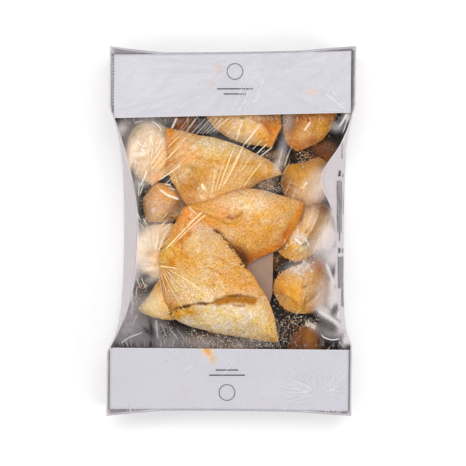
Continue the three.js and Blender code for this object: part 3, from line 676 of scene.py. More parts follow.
        patches=[(274, 132, 9, ORANGE, 0.95, 1.5, 60), (268, 122, 6, RUST, 0.7), (262, 136, 8, GOLD, 0.7), (236, 126, 16, PALE, 0.5), (224, 120, 8, GOLD, 0.4), (268, 112, 8, BROWN, 0.7)]),
    Samosa("samosa_right_a", [
        (284, 100), (310, 95), (334, 98), (339, 112), (334, 126), (326, 136), (313, 145.6), (298, 151), (288, 145), (284, 132), (282, 116)],
        gain=1.0, z=[(286, 110, 33), (337, 112, 35), (298, 150, 32)], rise=7.4, reach=1.0, power=1.0, lumps=1.2, wobble=2.2, seed=61, base=lin((236, 184, 96)), edge=lin((186, 112, 34)), edge_k=0.6, mottling=1.2,
        folds=[dict(path=[(290, 118), (306, 126), (322, 132)], depth=1.1, width=1.8, fade=0.2, tint=RUST, tint_k=0.3), dict(path=[(318, 104), (314, 122), (308, 142)], depth=-1.3, width=1.8, fade=0.2), dict(path=[(314, 124), (324, 128), (333, 124)], depth=0.9, width=1.2, fade=0.2), dict(path=[(296, 130), (304, 134), (312, 130)], depth=0.8, width=1.2, fade=0.2)],
        patches=[(322, 122, 12, GOLD, 0.5), (303, 144, 7, lin((196, 110, 26)), 0.9, 1.8, 20), (316, 146, 5, BROWN, 0.7), (294, 126, 9, ORANGE, 0.7), (330, 116, 7, ORANGE, 0.8), (306, 131, 10, CREAM, 0.6), (304, 117, 6, lin((190, 108, 26)), 0.6, 2.2, 0), (289, 136, 6, lin((206, 130, 50)), 0.7, 2.0, 80), (288, 120, 7, lin((120, 84, 60)), 0.85, 2.0, 80), (318, 112, 6, lin((206, 132, 38)), 0.6, 2.0, 0), (314, 138, 5, RUST, 0.5), (334, 122, 4, BROWN, 0.4)]),
    Samosa("samosa_right_b", [
        (281, 179), (284, 169), (291, 163), (303, 161), (314, 158.5), (322, 157), (329, 164), (333, 180), (328, 196), (316, 205), (303, 208), (290, 203), (283, 192)],
        gain=1.05, z=[(283, 178, 32), (328, 180, 34), (305, 205, 33)], rise=8.4, reach=1.0, power=1.0, lumps=1.1, wobble=2.2, seed=67, base=lin((226, 180, 120)), edge=lin((190, 132, 66)), edge_k=0.7, edge_w=3.4, mottling=0.7,
        folds=[dict(path=[(303, 187), (q, w)], depth=-1.5, width=1.7, fade=0.16) for q, w in ((284, 180), (298, 157), (326, 172), (306, 206))],
        # the yellow spot at (302, 188) and the pink-white one at (307, 183), where the folds meet, are a painted
        # highlight
        patches=[(286, 178, 6, lin((150, 104, 56)), 0.7, 2.4, 85), (300, 158, 7, lin((140, 98, 60)), 0.7, 2.6, 0), (302, 188, 6, lin((250, 188, 60)), 0.9), (307, 183, 3.5, lin((250, 214, 190)), 0.8), (294, 170, 9, GOLD, 0.6), (314, 168, 10, GOLD, 0.5), (290, 186, 8, lin((200, 140, 80)), 0.6), (318, 184, 9, PALE, 0.4), (321, 166, 5, lin((190, 130, 40)), 0.6), (300, 198, 7, GOLD, 0.5)]),
    Samosa("samosa_right_c", [
        (300, 206), (312, 201.5), (323, 200), (330, 207), (332.5, 218), (330, 234), (321, 248), (311, 257), (302, 261.5), (293, 262.5), (282, 256), (277, 249), (280, 238), (288, 226), (296, 214)],
        gain=1.1, z=[(308, 206, 33), (330, 215, 33), (293, 261, 33)], rise=7.8, reach=1.0, power=1.0, lumps=1.1, wobble=2.0, seed=71, base=lin((232, 188, 126)), edge=lin((206, 142, 66)), edge_k=0.6, mottling=0.8,
        folds=[dict(path=[(322, 206), (314, 226), (302, 244), (292, 254)], depth=-1.6, width=1.8, fade=0.12), dict(path=[(300, 212), (300, 228), (296, 242)], depth=1.0, width=1.5, fade=0.2), dict(path=[(316, 246), (306, 246), (298, 250)], depth=0.9, width=1.2, fade=0.2)],
        # the white patches at (300, 238) and (307, 243) are partly frost, partly a painted highlight
        patches=[(326, 207, 8, lin((150, 84, 30)), 0.95, 1.8, 75), (318, 206, 5, BROWN, 0.7), (300, 238, 5, SNOW, 0.9, 2.2, -30), (307, 243, 5, SNOW, 0.7, 1.6, 30), (290, 250, 8, lin((232, 170, 60)), 0.9), (300, 250, 6, lin((250, 222, 150)), 0.8), (312, 224, 8, PALE, 0.5), (286, 257, 6, GOLD, 0.8), (284, 247, 5, BROWN, 0.4), (324, 222, 7, GOLD, 0.6, 1.8, 70)]),
    Samosa("samosa_right_d", [
        (272.5, 292), (275, 279), (284, 271), (295, 267), (304, 263), (310, 257.5), (318, 255), (324.5, 259), (327, 268), (331, 280), (332.5, 292), (326, 305), (313, 314.5), (295, 315), (280, 307)],
        gain=1.12, z=[(273, 290, 32), (331, 288, 33), (318, 257, 34)], rise=8.8, reach=1.0, power=1.0, lumps=1.1, wobble=2.0, seed=73, base=lin((232, 186, 120)), edge=lin((206, 140, 60)), edge_k=0.6, edge_w=3.2, mottling=0.7,
        folds=[dict(path=[(311, 263), (306, 280), (303, 296), (303, 312)], depth=-1.8, width=1.8, fade=0.12), dict(path=[(303, 310), (316, 296), (328, 286)], depth=1.0, width=1.6, fade=0.2), dict(path=[(302, 306), (290, 296), (279, 290)], depth=-1.0, width=1.6, fade=0.2)],
        # the orange spot at (305, 307) and the pale yellow one at (302, 309) are a painted highlight
        patches=[(318, 264, 9, lin((196, 96, 22)), 1.0), (316, 258, 4, DARK, 0.8, 2.2, 0), (309, 262, 4, BROWN, 0.9), (305, 307, 8, ORANGE, 0.8), (302, 309, 4, lin((250, 200, 90)), 0.8), (318, 290, 13, lin((206, 168, 128)), 0.85, 1.3, 80), (289, 290, 14, GOLD, 0.8), (280, 300, 8, RUST, 0.55), (298, 298, 8, GOLD, 0.6), (300, 276, 8, PALE, 0.4), (327, 268, 5, ORANGE, 0.4)]),
    # its dark base, low gain and brown and dark patches are painted shade: it lies low in the lower right corner
    Samosa("samosa_right_e", [
        (286, 354), (291, 339), (299, 330), (309, 324), (318, 324), (322, 333), (326, 343), (336, 356), (334, 378), (310, 386), (288, 376)],
        z=[(286, 354, 27), (312, 324, 29), (334, 360, 27)], rise=9.46, seed=79, base=lin((176, 108, 44)), edge=BROWN, edge_k=0.8, mottling=0.6, gain=0.63,
        patches=[(296, 340, 9, RUST, 0.5), (312, 332, 8, ORANGE, 0.3), (326, 340, 8, BROWN, 0.8), (330, 350, 9, DARK, 0.8), (300, 350, 8, BROWN, 0.6)]),
    # the five lower samosas are painted dark brown, with dark edges and patches: painted shade, as they lie deep under
    # the others
    Samosa("samosa_under_a", n=110, rings=20, outline=[
        (160, 96), (190, 94), (206, 104), (204, 124), (194, 138), (176, 140), (162, 128), (156, 110)],
        z=[(160, 100, 24), (204, 110, 18), (190, 135, 18)], rise=9.46, seed=83, base=lin((176, 92, 26)), edge=DARK, edge_k=0.8, mottling=0.25, gain=1.0, patches=[(204, 124, 12, DARK, 1.3), (166, 120, 8, DARK, 0.8)]),
    Samosa("samosa_under_b", n=110, rings=20, outline=[
        (300, 150), (312, 138), (328, 132), (342, 138), (344, 158), (334, 178), (316, 186), (302, 172)],
        z=[(302, 150, 22), (342, 140, 24), (320, 180, 22)], rise=10.3, seed=89, base=lin((150, 80, 28)), edge=DARK, edge_k=0.7, mottling=0.4, gain=0.9, patches=[(326, 148, 12, BROWN, 0.7), (330, 160, 8, RUST, 0.5), (336, 136, 8, DARK, 0.8), (304, 157, 9, DARK, 1.4, 1.6, 0)]),
    Samosa("samosa_under_c", n=110, rings=20, outline=[
        (224, 250), (246, 262), (262, 282), (296, 262), (300, 244), (286, 230), (250, 228)],
        z=[(224, 250, 16), (296, 262, 16), (262, 282, 16)], rise=8.6, seed=97, base=lin((100, 62, 34)), edge=DARK, edge_k=0.6, mottling=0.25, gain=0.8),
    Samosa("samosa_under_d", n=110, rings=20, outline=[
        (196, 360), (176, 348), (180, 336), (210, 334), (250, 344), (262, 356), (250, 384), (214, 388)],
        z=[(176, 348, 14), (250, 344, 14), (220, 386, 14)], rise=9.46, seed=101, base=lin((100, 62, 34)), edge=DARK, edge_k=0.6, mottling=0.25, gain=0.8),
    Samosa("samosa_under_e", n=110, rings=20, outline=[
        (262, 150), (284, 144), (296, 158), (286, 180), (262, 192), (244, 184), (250, 166)],
        z=[(262, 150, 17), (284, 180, 17), (246, 184, 17)], rise=8.6, seed=103, base=lin((100, 62, 34)), edge=DARK, edge_k=0.6, mottling=0.25, gain=0.8),
]
crust_top = crust_material("crust_fried", 1.0, 0.05)
crust_low = crust_material("crust_frosted", 1.0, 0.24, (0.985, 0.89, 0.60), (1.0, 1.0, 1.06), 1.15)
crust_pale = crust_material("crust_pale", 0.6, 0.26, (0.99, 0.94, 0.78), (1.0, 1.0, 1.06), 1.15)
for s in SAMOSAS:
    if s.name in ("samosa_top_left", "samosa_mid_right", "samosa_low_left"):
        s.build(crust_top)
    else:
        s.build(crust_pale if s.name in ("samosa_left_a", "samosa_left_c", "samosa_left_d") else crust_low)


# ---------------------------------------------------------------- the board
def board_material():
    m = Nodes("board_grey")
    m.mat.use_backface_culling = False
    xyz = m.new("ShaderNodeSeparateXYZ")
    m.link(m.coord(), xyz.inputs[0])
    X, Y, Z = xyz.outputs
    nrm = m.new("ShaderNodeSeparateXYZ")
    geo = m.new("ShaderNodeNewGeometry")
    m.link(geo.outputs["Normal"], nrm.inputs[0])
    NX, NY, NZ = nrm.outputs
    fibre = m.noise(900, 5, 0.6)
    cloud = m.noise(34, 4, 0.55)
    base = m.mixc(cloud, tuple(lin((193, 192, 198))), tuple(lin((184, 182, 189))))
    base = m.mixc(m.math("MULTIPLY", fibre, 0.14), base, tuple(lin((214, 212, 217))))
    # the inner face, the side of the board that looks towards the tray's middle: the uncoated board's own grey,
    # darkened further as painted shade inside the tray
    facing = m.math("ADD", m.math("MULTIPLY", X, NX), m.math("MULTIPLY", Y, NY))
    upright = m.math("SUBTRACT", 1.0, m.math("ABSOLUTE", NZ))
    inner_face_shade = m.math("MULTIPLY", m.math("LESS_THAN", facing, 0.0), m.math("GREATER_THAN", upright, 0.25))
    base = m.mixc(m.math("MULTIPLY", inner_face_shade, 0.9), base, tuple(lin((140, 130, 144))))
    # the long outer sides, a little duller than the flaps
    side = m.math("MULTIPLY", m.math("GREATER_THAN", facing, 0.0), m.math("GREATER_THAN", m.math("ABSOLUTE", NX), 0.6))
    base = m.mixc(side, base, tuple(lin((200, 192, 193))))
    # the floor, painted dark brown: painted shade deep among the samosas, slate-purple towards the lower left corner
    low = m.math("MULTIPLY", m.math("LESS_THAN", Z, 0.0015), m.math("GREATER_THAN", NZ, 0.5))
    floor_shade = m.mixc(m.noise(60, 4, 0.6), tuple(lin((70, 54, 46))), tuple(lin((40, 29, 24))))
    west = m.math("MULTIPLY", m.math("MULTIPLY_ADD", X, -40.0, -1.4, clamp=True), m.math("MULTIPLY_ADD", Y, -40.0, -1.2, clamp=True))
    floor_shade = m.mixc(west, floor_shade, tuple(lin((62, 50, 68))))
    base = m.mixc(low, base, floor_shade)

    def line(y0, slope, width):
        off = m.math("ABSOLUTE", m.math("SUBTRACT", m.math("SUBTRACT", Y, y0 * MM), m.math("MULTIPLY", X, slope)))
        return m.math("SUBTRACT", 1.0, m.math("DIVIDE", off, width * MM), clamp=True)

    # the cut and folded edges of the flaps painted paler than the print side: a painted highlight along them
    k = 1.0 / (RIGHT_TOP - LEFT_TOP)
    pale = None
    for f in FLAPS.values():
        for a, b in ((f["freeL"], f["freeR"]), (f["foldL"], f["foldR"])):
            sl = (b - a) * k
            e = line(a - sl * LEFT_TOP, sl, 0.8)
            pale = e if pale is None else m.math("MAXIMUM", pale, e)
    up = m.math("GREATER_THAN", Z, 0.045)
    base = m.mixc(m.math("MULTIPLY", m.math("MULTIPLY", pale, up), 0.6), base, tuple(lin((226, 225, 229))))

    def stain(u, v, rx, ry, angle, tint, strength, seed_scale, z=51.0, soft=1.6):
        c = px(u, v, z)
        t = math.radians(angle)
        dx = m.math("SUBTRACT", X, float(c[0]) * MM)
        dy = m.math("SUBTRACT", Y, float(c[1]) * MM)
        a = m.math("DIVIDE", m.math("ADD", m.math("MULTIPLY", dx, math.cos(t)), m.math("MULTIPLY", dy, math.sin(t))), rx * MM)
        b = m.math("DIVIDE", m.math("SUBTRACT", m.math("MULTIPLY", dy, math.cos(t)), m.math("MULTIPLY", dx, math.sin(t))), ry * MM)
        r = m.math("SQRT", m.math("ADD", m.math("MULTIPLY", a, a), m.math("MULTIPLY", b, b)))
        n = m.noise(seed_scale, 4, 0.65)
        edge = m.math("SUBTRACT", m.math("MULTIPLY_ADD", m.math("SUBTRACT", n, 0.5), 2.6, 1.0), r)
        w = m.math("MULTIPLY", m.math("MULTIPLY", edge, soft, clamp=True), m.math("MULTIPLY", up, strength))
        return w, tint

    for w, tint in (
        stain(206.5, 350, 5.2, 8.2, 34, lin((224, 186, 138)), 0.9, 420, soft=1.0),
        stain(208.3, 351.5, 3.3, 7.6, 33, lin((210, 158, 84)), 1.0, 520, soft=1.1),
        stain(212.8, 360, 2.0, 3.0, 20, lin((214, 166, 80)), 0.95, 600, soft=1.2),
        stain(219, 69, 2.4, 4.0, 20, lin((214, 160, 104)), 0.35, 420),
        stain(213, 84, 1.6, 2.4, 0, lin((206, 150, 100)), 0.30, 520),
        stain(312, 92, 6.0, 2.8, 0, lin((220, 188, 150)), 0.45, 300),
        stain(186, 393, 3.0, 5.4, 10, lin((200, 178, 182)), 0.35, 280),
        stain(262, 402, 3.0, 2.0, 0, lin((202, 180, 184)), 0.30, 280),
    ):
        base = m.mixc(w, base, tuple(tint))
    p = m.new("ShaderNodeBsdfPrincipled", Roughness=0.55)
    p.inputs["Specular IOR Level"].default_value = 0.3
    m.link(base, p.inputs["Base Color"])
    m.link(m.bump(fibre, 0.2, 0.0002, m.bump(cloud, 0.3, 0.0008)), p.inputs["Normal"])
    m.link(p.outputs[0], m.out.inputs[0])
    return m.mat


board = board_material()
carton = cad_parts["carton"]
carton.data.materials.clear()
carton.data.materials.append(board)

# ---------------------------------------------------------------- the film
FW, FH = ((264, 256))     # cells across and along the window
BAND = 72                       # cells along each flap
OFF = 0.35                                       # film clear of what it lies on


def side_edge(side, y):
    """Where the film crosses the top edge of a side wall."""
    x, z = wall_point(side, y, 1.0)
    return x + side["sign"] * OFF, z + OFF


def relax(z, low, hold, rounds):
    for _ in range(rounds):
        m = z.copy()
        m[1:-1, 1:-1] = 0.25 * (z[:-2, 1:-1] + z[2:, 1:-1] + z[1:-1, :-2] + z[1:-1, 2:])
        z = np.where(hold, z, np.maximum(m - 0.0016, low))
    return z


def window_grid():
    s = np.linspace(0, 1, FW + 1)[None, :]
    t = np.linspace(0, 1, FH + 1)[:, None]
    x = mix(-80.0, 80.0, s) + 0 * t
    for _ in range(4):
        y = mix(free_y(FLAPS["bottom"], x), free_y(FLAPS["top"], x), t)
        xl, _z = side_edge(WALLS["left"], y)
        xr, _z = side_edge(WALLS["right"], y)
        x = mix(xl, xr, s)
    _, zl = side_edge(WALLS["left"], y)
    _, zr = side_edge(WALLS["right"], y)
    frame_z = mix(zl, zr, s)
    z = np.minimum(frame_z, FLAP_Z + OFF)
    z[0], z[-1] = FLAP_Z + OFF, FLAP_Z + OFF
    pts = np.stack([x.ravel(), y.ravel()], 1)
    low = np.full(len(pts), -1e3)
    for sm in SAMOSAS:
        if "under" in sm.name:
            continue
        a, b = sm.outline.min(0), sm.outline.max(0)
        m = ((pts >= a) & (pts <= b)).all(1)
        d = edge_distance(pts[m], sm.outline)
        idx = np.flatnonzero(m)[d > 0]
        h = sm.top(pts[idx], d[d > 0]) + OFF * smooth(0, 1.5, d[d > 0])
        low[idx] = np.maximum(low[idx], h)
    low = low.reshape(x.shape)
    touch = low.copy()
    hold = np.zeros(x.shape, bool)
    hold[0] = hold[-1] = True
    hold[:, 0] = hold[:, -1] = True
    z = np.where(hold, z, np.maximum(z - 2.0, low))
    for step in (8, 4, 2, 1):
        zz, ll, hh = z[::step, ::step], low[::step, ::step], hold[::step, ::step].copy()
        hh[-1] = True
        hh[:, -1] = True
        zz = relax(zz.copy(), ll, hh, 260 if step > 1 else 80)
        # back up to the fine grid
        ri = np.linspace(0, zz.shape[0] - 1, z.shape[0])
        ci = np.linspace(0, zz.shape[1] - 1, z.shape[1])
        r0, c0 = np.minimum(ri.astype(int), zz.shape[0] - 2), np.minimum(ci.astype(int), zz.shape[1] - 2)
        fr, fc = (ri - r0)[:, None], (ci - c0)[None, :]
        up = (zz[r0][:, c0] * (1 - fr) * (1 - fc) + zz[r0 + 1][:, c0] * fr * (1 - fc) + zz[r0][:, c0 + 1] * (1 - fr) * fc + zz[r0 + 1][:, c0 + 1] * fr * fc)
        z = np.where(hold, z, np.maximum(up, low))
    return x, y, z, touch


def film_material():
    m = Nodes("clear_film")
    veil = m.attr("veil")
    streak = m.attr("streak")
    cloud = m.noise(110, 4, 0.6)
    fine = m.noise(1100, 4, 0.7)
    v = m.math("MULTIPLY", veil, m.math("MULTIPLY_ADD", cloud, 1.0, 0.5))
    v = m.math("MULTIPLY_ADD", m.math("SUBTRACT", fine, 0.5), m.math("MULTIPLY", veil, 0.9), v)
    v = m.math("MAXIMUM", m.math("SUBTRACT", v, 0.025), 0.0)
    broken = m.math("MULTIPLY_ADD", fine, 0.9, 0.5, clamp=True)
    s = m.math("MULTIPLY", streak, broken)
    fac = m.math("ADD", v, s, clamp=True)
    clear = m.new("ShaderNodeBsdfTransparent")
    clear.inputs["Color"].default_value = (0.992, 0.99, 0.992, 1)
    # fogged film is duller than film gathered into a crease; the crease's warm lit tint is a painted highlight, and the
    # warm share of the fog tint is painted light over the samosas under it
    lit = m.mixc(m.attr("warm"), (0.92, 0.91, 0.94), (1.0, 0.82, 0.45))
    fog = m.mixc(m.attr("warm"), (0.53, 0.49, 0.52), (0.945, 0.735, 0.52))
    tint = m.mixc(m.math("MULTIPLY", s, 8.0, clamp=True), fog, lit)
    milk = m.new("ShaderNodeBsdfDiffuse")
    m.link(tint, milk.inputs["Color"])
    thru = m.new("ShaderNodeBsdfTranslucent")
    m.link(tint, thru.inputs["Color"])
    body = m.new("ShaderNodeMixShader", Fac=0.12)
    m.link(milk.outputs[0], body.inputs[1])
    m.link(thru.outputs[0], body.inputs[2])
    a = m.new("ShaderNodeMixShader")
    m.link(fac, a.inputs["Fac"])
    m.link(clear.outputs[0], a.inputs[1])
    m.link(body.outputs[0], a.inputs[2])
    crinkle = m.noise(230, 3, 0.6, distortion=0.8)
    n = m.bump(crinkle, 0.2, 0.0006)
    gloss = m.new("ShaderNodeBsdfGlossy", Roughness=0.14)
    gloss.inputs["Color"].default_value = (1, 1, 1, 1)
    m.link(n, gloss.inputs["Normal"])
    fr = m.new("ShaderNodeFresnel", IOR=1.2)
    m.link(n, fr.inputs["Normal"])
    top = m.new("ShaderNodeMixShader")
    # film that lies against the side walls shines less: warm is -1 there
    close = m.math("MULTIPLY_ADD", m.attr("warm"), 0.8, 1.0, clamp=True)
    m.link(m.math("MULTIPLY", fr.outputs[0], close), top.inputs["Fac"])
    m.link(a.outputs[0], top.inputs[1])
    m.link(gloss.outputs[0], top.inputs[2])
    m.link(top.outputs[0], m.out.inputs[0])
    return m.mat


film_mat = film_material()


def film_object(name, patches):
    """Joins grid patches [(verts (r, c, 3), veil (r, c), streak (r, c), flip, warm)] into one piece."""
    V, F, A, B, W = [], [], [], [], []
    n = 0
    for verts, veil, streak, flip, *warm in patches:
        r, c = verts.shape[:2]
        W.append(np.broadcast_to(warm[0] if warm else 0.0, (r, c)).ravel())
        V.append(verts.reshape(-1, 3))
        A.append(np.broadcast_to(veil, (r, c)).ravel())
        B.append(np.broadcast_to(streak, (r, c)).ravel())
        F.append(grid_faces(r, c, flip=flip) + n)
        n += r * c
    ob = mesh_object(name, np.vstack(V), np.vstack(F), attrs={"veil": np.concatenate(A), "streak": np.concatenate(B), "warm": np.concatenate(W)})
    ob.data.materials.append(film_mat)
    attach(ob, "root")
    return ob


# where the film is clouded, partly its own haze and frost, partly painted glare and highlight: (u, v, radius, strength,
# stretch, angle); a minus makes it clear
VEILS = [
    # left side
    (131, 150, 7, 0.50, 2.6, 86), (142, 150, 12, 0.45, 1.5, 70), (152, 300, 9, 0.20, 1.6, 30), (153, 278, 5, 0.5, 2.0, 30), (148, 240, 9, 0.45, 1.5, 20), (139, 246, 6, 0.8, 2.4, 86), (141, 154, 2.6, 0.9, 3.2, 12), (135, 147, 2.4, 0.8, 2.4, 60), (131, 162, 2.6, 0.7, 3.0, 80), (151, 140, 2.0, 0.7, 3.6, 80), (146, 165, 2.6, 0.5, 3.0, 60), (138, 170, 2.4, 0.5, 2.6, 70), (133, 250, 10, 1.30, 2.2, 88), (143, 244, 9, 0.60, 1.3, 60), (146, 260, 5, 0.5, 1.8, 0), (150, 268.5, 3.4, 0.75, 2.6, 0), (152, 260, 2.6, 0.45, 2.4, 0), (143, 268, 6, 0.55, 1.5, 0),
    (134, 205, 5, 0.35, 2.6, 88), (134, 278, 5, 0.45, 1.6, 70), (121, 130, 6, 0.6, 1.8, 60), (150, 124, 7, 0.45, 2.2, 0), (158, 152, 5, 0.18, 1.5, 60),
    (136, 186, 6, 0.40, 2.0, 80), (156, 228, 8, 0.38, 1.6, 0), (132, 300, 6, 0.38, 1.8, 80), (145, 183, 5, 0.35, 1.4, 0),
    # lower left
    (128, 318, 11, 0.36, 1.6, 60), (124, 332, 8, 0.34, 2.0, 25), (142, 325, 8, 0.26, 1.6, 20), (136, 341, 7, 0.24, 2.2, 8), (168, 340, 10, 0.30, 2.0, 0), (158, 326, 5, 0.34, 1.6, 0), (148, 303, 8, 0.20, 1.6, 20), (160, 312, 6, 0.22, 1.6, 0),
    (200, 343, 8, 0.26, 2.6, 0), (245, 343, 8, 0.18, 2.8, 0), (151.5, 329, 2.6, -0.95, 4.0, -82), (146.5, 330, 1.8, -0.8, 3.0, -50), (164, 331, 2.4, -0.8, 2.6, -55), (126, 345.5, 2.4, -0.9, 3.0, 0), (151, 344, 1.8, -0.9, 2.0, 90),
    # right side
    (324, 184, 9, 0.66, 1.7, 62), (312, 194, 8, 0.30, 1.6, 10), (303, 190, 9, 0.18, 1.2, 0), (316, 176, 6, 0.35, 1.5, 50), (328, 240, 9, 1.50, 1.9, 84), (320, 247, 7, 0.75, 1.7, 64), (332, 256, 7, 1.20, 1.5, 80), (333, 214, 4, 0.7, 3.2, 88),
    (299, 267, 7, 0.45, 2.0, 15), (322, 292, 7, 0.42, 1.9, 80), (320, 305, 6, 0.36, 1.5, 20), (338, 272, 5.0, 1.6, 3.2, 86), (337, 297, 5.5, 1.5, 1.8, 84), (341, 313, 5, 1.5, 1.8, 75), (333, 283, 4, 0.9, 2.0, 80), (336, 291, 7, 0.9, 2.2, 86), (332, 300, 5, 0.6, 2.0, 80), (330, 268, 5, 0.5, 2.0, 80),
    (342, 327, 5, 1.7, 1.6, 60), (347, 338, 4, 1.6, 1.8, 60), (326, 313, 4.5, 1.0, 2.2, -32), (330, 331, 7, 0.50, 1.5, 0), (325, 316, 5, 0.35, 1.6, -30),
    (333.5, 272, 3.4, -0.7, 2.4, 68), (335, 309, 3.6, -0.7, 2.4, 60), (331, 329, 4.4, -0.55, 2.0, -10),
    (337, 127, 5, 0.50, 1.3, 0), (347, 117, 4, 0.80, 1.4, 60), (312, 217, 6, 0.40, 1.5, 60),
    (282, 152, 4.5, 0.50, 3.2, 78), (277, 167, 4, 0.50, 1.6, 80), (288, 122, 6, 0.28, 1.8, 80), (266, 186, 8, 0.14, 1.6, 0), (205, 126, 7, 0.12, 1.8, 0),
    (314, 327, 4, 0.3, 1.4, 0),
]


def veil_at(x, y):
    q = np.stack([np.ravel(x), np.ravel(y)], 1)
    v = np.zeros(len(q))
    for u, w, r, k, a, ang in VEILS:
        c = px(u, w, 49)[:2]
        t = math.radians(ang)
        p = (q - c) @ np.array([[math.cos(t), -math.sin(t)], [math.sin(t), math.cos(t)]])
        p = p / np.array([a, 1.0])
        g = np.exp(-(p * p).sum(1) / (r * 0.67) ** 2)
        v = v + k * g * (1 - np.minimum(v, 0.9)) if k > 0 else v * (1 + k * g)
    return v.reshape(np.shape(x))


# ---- the window: clear film drawn tight over the samosas that stand highest
wx, wy, wz, touch = window_grid()
gap = np.clip(wz - touch, 0, 40)
q = np.stack([wx.ravel(), wy.ravel()], 1)
free = smooth(0.3, 4.0, gap)
loose = (0.5 * fbm(q, 14, 301, 2) + 0.2 * fbm(q, 5, 302, 2)).reshape(wz.shape)
rim = np.minimum(np.minimum(np.abs(wx - wx[:, :1]), np.abs(wx - wx[:, -1:])), np.minimum(np.abs(wy - wy[:1]), np.abs(wy - wy[-1:])))
wz = wz + smooth(0, 5, rim) * (0.2 + 0.8 * free) * np.maximum(loose + 0.2, -0.1 - 0.3 * free) * 0.7
# the fog is warmer over the left and where the film lies near the samosas: painted light, the fog taking the colour of
# lit pastry
fog_warm = 0.08 + (0.50 + 0.42 * smooth(20, -20, wx)) * smooth(22, 9, gap)
reach = np.exp(-(np.arange(-18, 19) / 9.0) ** 2)
for axis in (0, 1):
    wide = np.apply_along_axis(lambda row: np.convolve(np.pad(row, 18, mode="edge"), reach / reach.sum(), mode="valid"), axis, fog_warm)
    fog_warm = wide
film_window = film_object("film_window", [(np.stack([wx, wy, wz], -1), veil_at(wx, wy), np.zeros(wx.shape), False, fog_warm)])
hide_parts("film_and_samosas")


def window_z(x, y):
    """Height of the window film over points of the tray."""
    x, y = np.asarray(x, float), np.asarray(y, float)
    t = (y - free_y(FLAPS["bottom"], x)) / (free_y(FLAPS["top"], x) - free_y(FLAPS["bottom"], x))
    xl, xr = side_edge(WALLS["left"], y)[0], side_edge(WALLS["right"], y)[0]
    s = (x - xl) / (xr - xl)
    r, c = np.clip(t, 0, 1) * FH, np.clip(s, 0, 1) * FW
    r0, c0 = np.minimum(r.astype(int), FH - 1), np.minimum(c.astype(int), FW - 1)
    a, b = r - r0, c - c0
    return wz[r0, c0] * (1 - a) * (1 - b) + wz[r0 + 1, c0] * a * (1 - b) + wz[r0, c0 + 1] * (1 - a) * b + wz[r0 + 1, c0 + 1] * a * b


def window_gap(x, y):
    """How far the window film stands over the samosa under it."""
    t = (y - free_y(FLAPS["bottom"], x)) / (free_y(FLAPS["top"], x) - free_y(FLAPS["bottom"], x))
    xl, xr = side_edge(WALLS["left"], y)[0], side_edge(WALLS["right"], y)[0]
    r = np.clip(np.round(t * FH), 0, FH).astype(int)
    c = np.clip(np.round((x - xl) / (xr - xl) * FW), 0, FW).astype(int)
    return gap[r, c]


# ---- the wrap: the same film over the flaps, down the ends and sides, and under the tray
def band_outer(flap, x):
    return tab_y(flap, x) + (0.45 if flap["foldL"] > 0 else -0.45)


def wrinkles(x, y, flap):
    """Height of the slack wrinkles in the film over a flap."""
    q = np.stack([np.ravel(x), np.ravel(y)], 1)
    cu, cv = (322, 393) if flap["foldL"] < 0 else (250, 70)
    c = px(cu, cv, 51)[:2]
    d = q - c
    r = np.hypot(*d.T)
    ang = np.arctan2(d[:, 1], d[:, 0])
    ray = vnoise(np.stack([ang * 17, r * 0.012], 1), 1.0, 411) + 0.6 * vnoise(np.stack([ang * 39, r * 0.02], 1), 1.0, 412)
    h = 0.60 * np.maximum(ray - 0.08, 0) * smooth(2, 14, r) * np.exp(-r / (60 if flap["foldL"] < 0 else 75))
    h = h + 0.30 * np.maximum(fbm(q @ np.array([[0.8, 0.35], [-0.6, 0.5]]), 7, 413, 3), 0)
    return h.reshape(np.shape(x))


def band_z(x, y, flap):
    d = 1 if flap["foldL"] > 0 else -1
    over = (np.asarray(y) - fold_y(flap, x)) * d       # past the fold, where the film drops to the tab
    z = FLAP_Z + OFF - 0.9 * smooth(-1.2, 3.0, over)
    near = np.minimum((np.asarray(y) - free_y(flap, x)) * d, 6) / 6
    return z + wrinkles(x, y, flap) * np.clip(near, 0, 1) * (1 - 0.6 * smooth(-3, 1, over))


NBX, NBY = ((240, 70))
bands = []
for flap in FLAPS.values():
    d = 1 if flap["foldL"] > 0 else -1
    s = np.linspace(0, 1, NBX)[None, :]
    t = np.linspace(0, 1, NBY)[:, None]
    x = mix(-83.0, 83.0, s) + 0 * t
    for _ in range(3):
        y = mix(free_y(flap, x), band_outer(flap, x), t)
        x = mix(side_edge(WALLS["left"], y)[0], side_edge(WALLS["right"], y)[0], s)
    z = band_z(x, y, flap)
    over = (y - fold_y(flap, x)) * d
    side_gap = np.minimum(x - wall_x(WALLS["left"], y, 50), wall_x(WALLS["right"], y, 50) - x)
    # the film is milkier past the fold and beside the side walls: partly film haze, partly painted light over the dark
    # slots by the corner tabs
    veil = 0.04 + 0.42 * smooth(-0.5, 0.4, over) + 0.34 * (1 - smooth(1.6, 3.4, side_gap))
    bands.append((np.stack([x, y, z], -1), veil, 0 * x, d < 0))
    # down the end, close to the corner tabs
    n, k = NBX, 12
    xe = x[-1][None, :] + 0 * np.linspace(0, 1, k)[:, None]
    ze = mix(z[-1][None, :], -0.12, np.linspace(0, 1, k)[:, None])
    ye = y[-1][None, :] + d * (0.25 * np.sin(np.linspace(0, math.pi, k))[:, None] * (1 + vnoise(np.stack([xe.ravel(), ze.ravel() * 0.3], 1), 5.0, 431).reshape(xe.shape)))
    bands.append((np.stack([xe, ye, ze], -1), 0.06 + 0 * xe, 0 * xe, d < 0))
